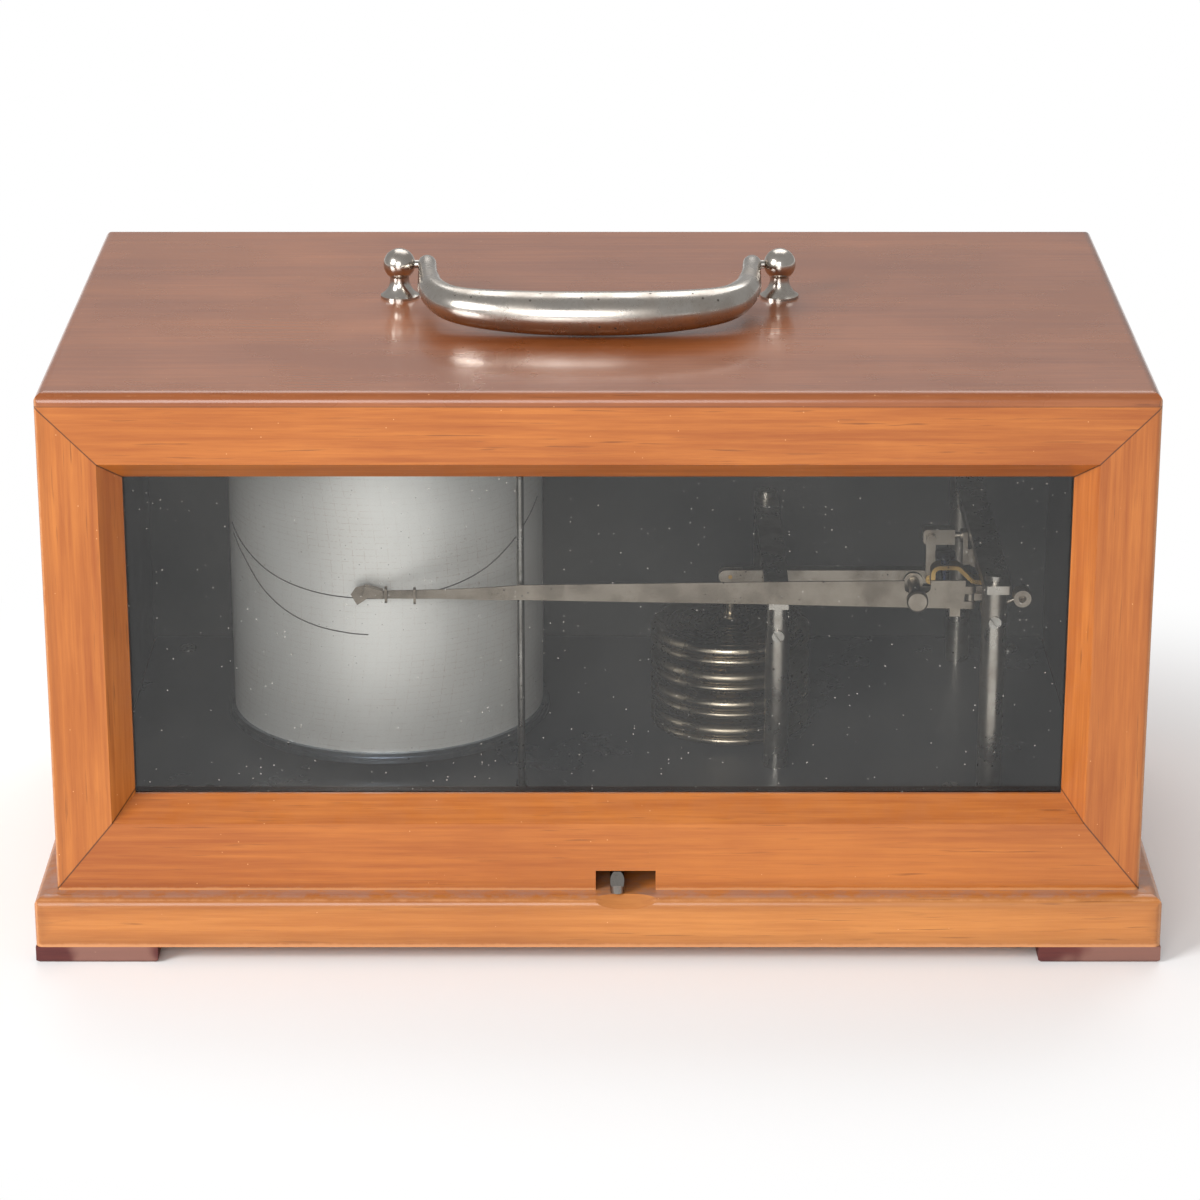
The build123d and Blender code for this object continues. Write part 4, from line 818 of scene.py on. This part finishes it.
class Woodwork:
    """Cover and base boards, each with the grain along its length."""

    honey: RGB = srgb(196, 118, 50)
    amber: RGB = srgb(152, 78, 27)
    umber: RGB = srgb(84, 40, 15)
    pale: RGB = srgb(210, 152, 100)

    def __init__(self, effects: Effects, sizes: CaseSizes) -> None:
        """Keep what the boards share.

        Args:
            effects: the shared node groups.
            sizes: the boxes whose edges are worn.
        """
        self.effects = effects
        self.sizes = sizes

    def _cover(self, name: str, grain: Axis, **changes: object) -> bpy.types.Material:
        """Finish of one group of the cover's boards.

        Args:
            name: the material's name.
            grain: the way the grain runs.
            changes: what differs from the other boards.

        Returns:
            The finished material.
        """
        settings = {
            "light": self.honey, "dark": self.amber, "pore": self.umber, "worn": self.pale,
            "box": self.sizes.cover,
        }
        settings.update(changes)
        return WoodFinish(name, grain=grain, **settings).build(self.effects)

    def dress(self) -> None:
        """Give every wooden CAD node its finish."""
        rails = self._cover("Rail wood", Axis.X, seams=0.85, dust=0.35)
        stiles = self._cover("Stile wood", Axis.Z, wear=0.62, seams=0.85)
        top = self._cover(
            "Top wood", Axis.X, light=srgb(168, 98, 50), dark=srgb(128, 66, 29), roughness=0.3,
            coat=0.6, figure=0.65, wear=0.45,
        )
        sides = self._cover("Side wood", Axis.Y)
        plinth = WoodFinish(
            "Plinth wood", srgb(204, 134, 68), srgb(166, 96, 42), srgb(84, 44, 22), srgb(214, 152, 104),
            Axis.X, self.sizes.plinth, wear=0.6, wear_width=0.0015, grime=0.3, dust=0.6,
        ).build(self.effects)
        feet = WoodFinish(
            "Feet wood", srgb(112, 52, 46), srgb(74, 28, 28), srgb(40, 16, 16), srgb(150, 110, 96),
            Axis.X, self.sizes.plinth, wear=0.3, roughness=0.6, coat=0.0,
        ).build(self.effects)
        inner = WoodFinish(
            "Inner wood", srgb(70, 44, 30), srgb(46, 28, 20), srgb(24, 14, 10), srgb(90, 66, 50),
            Axis.X, Box((-0.1408, -0.0744, 0.0192), (0.1408, 0.0744, 0.0328)), roughness=0.6, coat=0.0,
        ).build(self.effects)
        bead = WoodFinish(
            "Bead wood", srgb(60, 36, 24), srgb(38, 22, 16), srgb(20, 12, 8), srgb(90, 66, 50),
            Axis.X, Box((-0.13, -0.08, 0.042), (0.13, 0.08, 0.142)), roughness=0.5, coat=0.1,
        ).build(self.effects)
        coat(rails, "top_rail", "bottom_rail", "back_panel")
        coat(stiles, "left_stile", "right_stile")
        coat(top, "top_board")
        coat(sides, "left_side", "right_side")
        coat(plinth, "base_plinth")
        coat(feet, "corner_feet")
        coat(inner, "platform_board")
        coat(bead, "glass_beads")
        log.info("wooden boards have their finishes")


def coat(material: bpy.types.Material, *nodes: str) -> None:
    """Put a material on CAD nodes.

    Args:
        material: the finish.
        nodes: names of the nodes.
    """
    for node in nodes:
        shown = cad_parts[node]
        slots = shown.material_slots
        if not slots:
            shown.data.materials.append(material)
        for slot in slots:
            slot.material = material


class Metalwork:
    """Metal finishes of the pillars, the train, the handle and the drum."""

    def __init__(self, effects: Effects) -> None:
        """Build the finishes that the metal pieces share.

        Args:
            effects: the shared node groups.
        """
        self.effects = effects
        nickel = srgb(196, 190, 182)
        brown = srgb(112, 94, 76)
        self.nickel = self._metal(
            "Nickel plate", nickel, brown, roughness=0.24, tarnish_share=0.35, pits=0.45
        )
        self.pillar = self._metal("Pillar nickel", srgb(178, 172, 164), brown, roughness=0.3, pits=0.4)
        self.train = self._metal(
            "Train steel", srgb(160, 150, 138), srgb(96, 82, 68), roughness=0.36, tarnish_share=0.45,
            pit_scale=600.0,
        )
        self.screws = self._metal(
            "Screw steel", srgb(176, 172, 166), srgb(92, 80, 70), pits=0.3, pit_scale=800.0
        )
        self.capsule = self._metal(
            "Capsule nickel", srgb(186, 174, 156), srgb(112, 96, 78), roughness=0.26, pits=0.3
        )
        self.pen = self._metal(
            "Pen metal", srgb(148, 138, 126), srgb(100, 88, 76), roughness=0.42, tarnish_share=0.5,
            pits=0.3, pit_scale=600.0, streak=Axis.X,
        )
        self.drum = self._metal(
            "Drum metal", srgb(150, 158, 168), srgb(98, 96, 94), roughness=0.36, tarnish_share=0.5,
            pits=0.4,
        )
        self.brass = self._metal(
            "Aged brass", srgb(196, 160, 96), srgb(118, 88, 50), roughness=0.3, tarnish_share=0.5,
            pits=0.3,
        )
        self.blued = self._metal(
            "Blued steel", srgb(34, 44, 74), srgb(26, 28, 36), roughness=0.2, pits=0.2
        )
        self.lifter = self._metal(
            "Lifter steel", srgb(150, 147, 142), srgb(80, 70, 60), roughness=0.3, tarnish_share=0.5,
            pits=0.5, pit_scale=500.0,
        )

    def _metal(self, name: str, colour: RGB, tarnish: RGB, **changes: object) -> bpy.types.Material:
        """One metal finish, with what differs from the usual one."""
        return MetalFinish(name, colour, tarnish, **changes).build(self.effects)

    def dress(self) -> None:
        """Give every metal CAD node its finish."""
        coat(self.nickel, "handle_posts", "handle_bail", "drum_nut")
        coat(self.pillar, "left_pillars", "right_pillars", "left_bar", "right_bar")
        coat(self.capsule, "capsules", "capsule_stud", "capsule_head")
        coat(self.screws, "plate_screws", "bar_screws", "pivot_screws", "lifter_pivot", "handle_pins")
        coat(
            self.train, "pen_arbor", "lever_arbor", "lever_link", "crank_arm", "crank_block",
            "crank_pin", "crank_nuts", "main_lever", "gate_carrier", "gate_pin", "balance_bob",
            "thumbscrew",
        )
        coat(self.brass, "adjusting_strap", "lever_pins", "clock_movement", "mainspring_barrel")
        coat(self.brass, "walking_pinion", "fixed_gear", "drum_spindle")
        coat(self.blued, "adjusting_screw")
        coat(self.pen, "pen_arm", "pen_nib", "nib_clips")
        coat(self.lifter, "lifter_rod", "lifter_crank", "lifter_finger")
        coat(self.drum, "drum_shell", "drum_flange", "chart_clip")
        log.info("metal pieces have their finishes")


class Interior:
    """Dark floor plate, near-black inner shell (black paint on the back, painted shade on the side and top
    walls), chart paper and the pane.
    """

    def __init__(self, effects: Effects, drum: DrumSizes) -> None:
        """Build the finishes.

        Args:
            effects: the shared node groups.
            drum: the drum's sizes, for the chart's print.
        """
        self.plate = PaintFinish(
            "Floor paint", srgb(58, 61, 66), dust=srgb(150, 146, 140), roughness=0.26, dust_amount=0.6
        ).build(effects)
        # Near-black inner shell: black paint on the back board, and painted shade on the side and top
        # walls, where the closed case is dark.
        self.lining_and_shade = PaintFinish(
            "Black lining", srgb(18, 19, 20), dust=srgb(90, 88, 84), roughness=0.55, dust_amount=0.25
        ).build(effects)
        self.chart = ChartFinish("Chart paper", drum).build(effects)
        self.glass = GlassFinish("Window glass").build(effects)

    def dress(self) -> None:
        """Give the CAD nodes their finishes."""
        coat(self.plate, "floor_plate")
        # The inner shell's black is black paint on the back and painted shade on the side and top walls.
        coat(self.lining_and_shade, "case_lining")
        coat(self.chart, "chart_paper")
        coat(self.glass, "front_glass")
        log.info("interior has its finishes")


def turned(name: str, outline: list[tuple[float, float]], foot: Point, sides: int) -> bpy.types.Object:
    """Smooth turned piece about an upright line.

    Args:
        name: the piece's name.
        outline: (radius, height) in millimetres, with both ends on the line.
        foot: the line's lower end in metres.
        sides: steps round the line.

    Returns:
        The new mesh object.
    """
    build = bmesh.new()
    rings = []
    for radius, height in outline:
        z = foot[2] + height * MM
        if radius == 0:
            rings.append([build.verts.new((foot[0], foot[1], z))])
            continue
        ring = []
        for i in range(sides):
            turn = 2 * math.pi * i / sides
            x = foot[0] + radius * MM * math.cos(turn)
            y = foot[1] + radius * MM * math.sin(turn)
            ring.append(build.verts.new((x, y, z)))
        rings.append(ring)
    for low, high in zip(rings, rings[1:]):
        for i in range(sides):
            j = i + 1
            corners = [low[i % len(low)], low[j % len(low)], high[j % len(high)], high[i % len(high)]]
            corners = list(dict.fromkeys(corners))
            if len(corners) > 2:
                build.faces.new(corners)
    bmesh.ops.recalc_face_normals(build, faces=build.faces)
    mesh = bpy.data.meshes.new(name)
    build.to_mesh(mesh)
    build.free()
    mesh.shade_smooth()
    piece = bpy.data.objects.new(name, mesh)
    bpy.context.scene.collection.objects.link(piece)
    return piece


def between(before: float, start: float, end: float, after: float, share: float) -> float:
    """Number on a smooth curve through four.

    Args:
        before: the number before start.
        start: the number at share 0.
        end: the number at share 1.
        after: the number after end.
        share: how far from start to end.

    Returns:
        The number on the curve.
    """
    slope = end - before
    bend = 2 * before - 5 * start + 4 * end - after
    twist = 3 * start - before - 3 * end + after
    return 0.5 * (2 * start + slope * share + bend * share**2 + twist * share**3)


def flowing(stations: list[tuple[float, ...]], steps: int) -> list[tuple[float, ...]]:
    """Stations with smooth ones between them.

    Args:
        stations: the places to go through.
        steps: steps from each to the next.

    Returns:
        All the places in order.
    """
    ends = [stations[0], *stations, stations[-1]]
    flowed = []
    for four in zip(ends, ends[1:], ends[2:], ends[3:]):
        for i in range(steps):
            flowed.append(tuple(between(*numbers, i / steps) for numbers in zip(*four)))
    flowed.append(stations[-1])
    return flowed


class Sweeper:
    """Geometry Nodes that run a round bar along a path, made once and used for every bar."""

    def __init__(self) -> None:
        """Write the tree, with the bar's sides and its finish as inputs."""
        self.tree = bpy.data.node_groups.new("Round sweep", "GeometryNodeTree")
        self._socket("Geometry", "INPUT", "Geometry")
        self.sides = self._socket("Sides", "INPUT", "Int")
        self.finish = self._socket("Finish", "INPUT", "Material")
        self._socket("Geometry", "OUTPUT", "Geometry")
        draw = Tree(self.tree)
        start = draw.node("NodeGroupInput").outputs
        circle = draw.node("GeometryNodeCurvePrimitiveCircle")
        draw.feed(circle.inputs["Resolution"], start["Sides"])
        circle.inputs["Radius"].default_value = 1.0
        skin = draw.node("GeometryNodeCurveToMesh")
        draw.feed(skin.inputs["Curve"], start["Geometry"])
        draw.feed(skin.inputs["Profile Curve"], circle.outputs["Curve"])
        draw.feed(skin.inputs["Scale"], draw.node("GeometryNodeInputRadius").outputs[0])
        skin.inputs["Fill Caps"].default_value = True
        smooth = draw.node("GeometryNodeSetShadeSmooth")
        draw.feed(smooth.inputs["Geometry"], skin.outputs["Mesh"])
        real = draw.node("GeometryNodeRealizeInstances")
        draw.feed(real.inputs["Geometry"], smooth.outputs["Geometry"])
        painted = draw.node("GeometryNodeSetMaterial")
        draw.feed(painted.inputs["Geometry"], real.outputs["Geometry"])
        draw.feed(painted.inputs["Material"], start["Finish"])
        draw.feed(draw.node("NodeGroupOutput").inputs["Geometry"], painted.outputs["Geometry"])

    def _socket(self, name: str, way: str, kind: str) -> str:
        """Add one socket to the tree and give its identifier."""
        made = self.tree.interface.new_socket(name=name, in_out=way, socket_type=f"NodeSocket{kind}")
        return made.identifier

    def run(
        self, name: str, points: list[tuple[Point, float]], material: bpy.types.Material, sides: int = 32
    ) -> bpy.types.Object:
        """Sweep one bar and turn it into a mesh.

        Args:
            name: the piece's name.
            points: place in metres and radius in millimetres of each station.
            material: the bar's finish.
            sides: sides round the bar.

        Returns:
            The new mesh object.
        """
        curve = bpy.data.curves.new(name + " path", "CURVE")
        curve.dimensions = "3D"
        line = curve.splines.new("POLY")
        line.points.add(len(points) - 1)
        for point, (place, radius) in zip(line.points, points):
            point.co = (*place, 1.0)
            point.radius = radius * MM
        path = bpy.data.objects.new(name + " path", curve)
        bpy.context.scene.collection.objects.link(path)
        modifier = path.modifiers.new("Sweep", "NODES")
        modifier.node_group = self.tree
        modifier[self.sides] = sides
        modifier[self.finish] = material
        bpy.context.view_layer.update()
        seen = path.evaluated_get(bpy.context.evaluated_depsgraph_get())
        mesh = bpy.data.meshes.new_from_object(seen)
        bpy.data.objects.remove(path)
        if not mesh.materials:
            mesh.materials.append(material)
        piece = bpy.data.objects.new(name, mesh)
        bpy.context.scene.collection.objects.link(piece)
        return piece


@dataclass(frozen=True)
class Handle:
    """Smooth bail of the carrying handle, in millimetres.

    Each station of the half is its distance from the middle, its y and the bar's radius.
    """

    drop: float = 3.2
    steps: int = 8
    least_radius: float = 0.3
    half: tuple[Point, ...] = (
        (47.0, 12.2, 0.6), (46.9, 11.6, 1.9), (46.8, 10.0, 2.7), (46.4, 4.0, 2.75), (45.8, -3.0, 3.2),
        (44.2, -12.5, 4.1), (39.5, -21.6, 4.9), (31.0, -26.6, 5.5), (16.0, -29.8, 6.05),
        (0.0, -30.6, 6.2),
    )

    def build(self, sweeper: Sweeper, metals: Metalwork) -> None:
        """Sweep the bail and let it stand for the CAD one.

        Args:
            sweeper: the nodes that sweep it.
            metals: the metal finishes.
        """
        pins = middle("handle_pins") / MM
        mirrored = [(-x, y, radius) for x, y, radius in self.half[-2::-1]]
        reach = pins.y - self.half[-1][1]
        points = []
        for x, y, radius in flowing([*self.half, *mirrored], self.steps):
            share = max(0.0, (pins.y - y) / reach)
            place = ((pins.x + x) * MM, y * MM, (pins.z - self.drop * share) * MM)
            points.append((place, max(radius, self.least_radius)))
        bail = sweeper.run("smooth_bail", points, metals.nickel)
        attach(bail, "handle")
        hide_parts("handle_bail")
        log.info("handle is swept")


@dataclass(frozen=True)
class Rim:
    """Rolled rim of a capsule: middle, height and radius of its roll, and its ends in degrees."""

    middle: float
    height: float
    radius: float
    start: float
    end: float
    steps: int = 10

    def points(self, bottom: float) -> list[tuple[float, float]]:
        """Places along the roll.

        Args:
            bottom: height of the capsule's foot.

        Returns:
            (radius, height) of each place.
        """
        arc = []
        for i in range(self.steps + 1):
            turn = math.radians(self.start + (self.end - self.start) * i / self.steps)
            out = self.middle + self.radius * math.cos(turn)
            arc.append((out, bottom + self.height + self.radius * math.sin(turn)))
        return arc


@dataclass(frozen=True)
class Stack:
    """Aneroid capsules with rolled rims and corrugated tops, in millimetres."""

    count: int = 4
    boss_radius: float = 3.9
    boss_gap: float = 0.02
    boss_foot: float = 0.9
    under_radius: float = 20.9
    under_height: float = 1.0
    lower_rim: Rim = Rim(22.3, 1.9, 1.15, -80, 80)
    waist: tuple[float, float] = (21.3, 3.1)
    upper_rim: Rim = Rim(21.5, 4.9, 1.95, -75, 105)
    dish_edge: float = 20.6
    dish_centre: float = 4.6
    dish_height: float = 6.15
    dish_rise: float = 0.5
    wave_height: float = 0.33
    waves: int = 6
    wave_steps: int = 9
    boss_edge: tuple[float, float] = (4.0, 6.5)
    sides: int = 160
    squashed_share: float = 0.975

    def build(self, metals: Metalwork) -> None:
        """Turn the whole stack as one piece.

        Args:
            metals: the metal finishes.
        """
        box = Box(*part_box("capsules"))
        foot = (box.centre[0], box.centre[1], box.low[2])
        pitch = 2 * box.half[2] / MM / self.count
        outline = [(0.0, 0.0)]
        for i in range(self.count):
            outline.extend(self._capsule(i * pitch, pitch))
        outline.append((0.0, self.count * pitch))
        stack = turned("rolled_capsules", outline, foot, self.sides)
        stack.data.materials.append(metals.capsule)
        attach(stack, "base")
        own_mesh(stack)
        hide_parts("capsules")
        log.info("capsule stack is turned")

    def _capsule(self, bottom: float, pitch: float) -> list[tuple[float, float]]:
        """Outline of one capsule from its lower boss to its upper one.

        Args:
            bottom: height of its foot.
            pitch: height from one capsule to the next.

        Returns:
            (radius, height) of each place.
        """
        outline = [
            (self.boss_radius, bottom + self.boss_gap), (self.boss_radius, bottom + self.boss_foot),
            (self.under_radius, bottom + self.under_height),
        ]
        outline += self.lower_rim.points(bottom)
        outline.append((self.waist[0], bottom + self.waist[1]))
        outline += self.upper_rim.points(bottom)
        steps = self.waves * self.wave_steps
        for i in range(steps + 1):
            radius = self.dish_edge - (self.dish_edge - self.dish_centre) * i / steps
            rise = self.dish_height + self.dish_rise * i / steps
            wave = self.wave_height * math.cos(2 * math.pi * i / self.wave_steps)
            outline.append((radius, bottom + rise + wave))
        outline.append((self.boss_edge[0], bottom + self.boss_edge[1]))
        outline.append((self.boss_radius, bottom + pitch - self.boss_gap))
        return outline


@dataclass(frozen=True)
class Traces:
    """Two thin ink lines on the chart, by degrees from the drum's front and height in millimetres."""

    lift: float = 0.00004
    width: float = 0.16
    steps: int = 10
    upper: tuple[tuple[float, float], ...] = (
        (-74, 99.5), (-58, 95.0), (-42, 91.0), (-24, 88.6), (-6, 87.9), (10, 88.4), (26, 90.0),
        (40, 93.0), (54, 98.0), (66, 103.0), (76, 107.0),
    )
    lower: tuple[tuple[float, float], ...] = (
        (-72, 97.0), (-60, 92.0), (-48, 85.5), (-36, 81.0), (-24, 78.4), (-12, 77.2), (-4, 76.9),
    )

    def build(self, sweeper: Sweeper, drum: DrumSizes) -> None:
        """Lay both lines on the drum.

        Args:
            sweeper: the nodes that sweep them.
            drum: the drum's sizes.
        """
        surface = Surface("Chart ink")
        grain = surface.draw.noise(surface.place, 900.0)
        tone = surface.draw.mix(grain, srgb(34, 28, 30), srgb(74, 62, 62))
        surface.put(Base_Color=tone, Roughness=0.7)
        radius = drum.radius + self.lift
        for name, marks in (("upper_trace", self.upper), ("lower_trace", self.lower)):
            points = []
            for turn, height in flowing(list(marks), self.steps):
                angle = math.radians(turn)
                place = (drum.x + radius * math.sin(angle), drum.y - radius * math.cos(angle), height * MM)
                points.append((place, self.width))
            line = sweeper.run(name, points, surface.material)
            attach(line, "drum")
            log.info("%s is drawn", name)


@dataclass(frozen=True)
class Lamp:
    """A square soft light."""

    name: str
    place: Point
    aim: Point
    size: float
    power: float

    def build(self) -> None:
        """Make the lamp and point it at its aim."""
        data = bpy.data.lights.new(self.name, "AREA")
        data.shape = "SQUARE"
        data.size = self.size
        data.energy = self.power
        lamp = bpy.data.objects.new(self.name, data)
        bpy.context.scene.collection.objects.link(lamp)
        lamp.location = self.place
        way = Vector(self.aim) - Vector(self.place)
        lamp.rotation_euler = way.to_track_quat("-Z", "Y").to_euler()


@dataclass(frozen=True)
class Studio:
    """Pale floor, white surroundings, soft lamps and the camera of the photo."""

    camera_place: Point = (0.0005, -1.1168, 0.481)
    camera_pitch: float = 70.0
    lens: float = 121.15
    floor_size: float = 6.0
    floor_squeeze: Point = (0.62, 1.0, 0.0)
    shadow_reach: float = 0.13
    white_from: float = 0.24
    surrounding_light: float = 0.42
    lamps: tuple[Lamp, ...] = (
        Lamp("Key", (-1.25, -1.0, 0.85), (0.0, 0.0, 0.08), size=0.7, power=26.0),
        Lamp("Front", (-0.25, -1.7, 0.62), (0.0, 0.0, 0.08), size=0.8, power=13.0),
        Lamp("Over", (0.1, 0.9, 1.3), (0.0, 0.0, 0.12), size=1.2, power=10.0),
    )

    def build(self) -> None:
        """Set the stage."""
        self._camera()
        self._floor()
        self._world()
        for lamp in self.lamps:
            lamp.build()
        bpy.context.scene.view_settings.view_transform = "Standard"
        log.info("studio is set")

    def _camera(self) -> None:
        """Camera at the photo's angle."""
        data = bpy.data.cameras.new("Camera")
        data.lens = self.lens
        data.sensor_width = 36.0
        data.clip_start = 0.05
        camera = bpy.data.objects.new("Camera", data)
        camera.location = self.camera_place
        camera.rotation_euler = (math.radians(self.camera_pitch), 0.0, 0.0)
        bpy.context.scene.collection.objects.link(camera)
        bpy.context.scene.camera = camera

    def _floor(self) -> None:
        """Plain pale floor under the feet, white beyond the object's soft shadow."""
        mesh = bpy.data.meshes.new("Studio floor")
        half = self.floor_size / 2
        corners = [(-half, -half, 0.0), (half, -half, 0.0), (half, half, 0.0), (-half, half, 0.0)]
        mesh.from_pydata(corners, [], [(0, 1, 2, 3)])
        floor = bpy.data.objects.new("Studio floor", mesh)
        bpy.context.scene.collection.objects.link(floor)
        surface = Surface("Studio floor")
        surface.put(Base_Color=(0.92, 0.92, 0.92), Roughness=0.8, Specular_IOR_Level=0.1)
        draw = surface.draw
        flat = draw.vector("MULTIPLY", surface.place, self.floor_squeeze)
        fade = draw.step(draw.vector("LENGTH", flat), self.shadow_reach, self.white_from)
        white = draw.node("ShaderNodeEmission")
        both = draw.node("ShaderNodeMixShader")
        draw.feed(both.inputs[0], fade)
        draw.feed(both.inputs[1], surface.shader.outputs[0])
        draw.feed(both.inputs[2], white.outputs[0])
        output = surface.material.node_tree.nodes["Material Output"]
        draw.feed(output.inputs["Surface"], both.outputs[0])
        mesh.materials.append(surface.material)

    def _world(self) -> None:
        """White surroundings, brighter to the camera than to the object."""
        world = bpy.data.worlds.new("Studio world")
        world.use_nodes = True
        bpy.context.scene.world = world
        draw = Tree(world.node_tree)
        path = draw.node("ShaderNodeLightPath")
        back = world.node_tree.nodes["Background"]
        back.inputs["Color"].default_value = (1.0, 1.0, 1.0, 1.0)
        strength = draw.blend(path.outputs["Is Camera Ray"], self.surrounding_light, 1.0)
        draw.feed(back.inputs["Strength"], strength)


def main() -> None:
    """Dress the frame, sub-assembly by sub-assembly."""
    logging.basicConfig(level=logging.INFO)
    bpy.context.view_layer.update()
    case = CaseSizes()
    drum = DrumSizes()
    effects = Effects(case)
    sweeper = Sweeper()
    Woodwork(effects, case).dress()
    metals = Metalwork(effects)
    metals.dress()
    Interior(effects, drum).dress()
    Handle().build(sweeper, metals)
    Stack().build(metals)
    Traces().build(sweeper, drum)
    Studio().build()


if __name__ == "__main__":
    main()
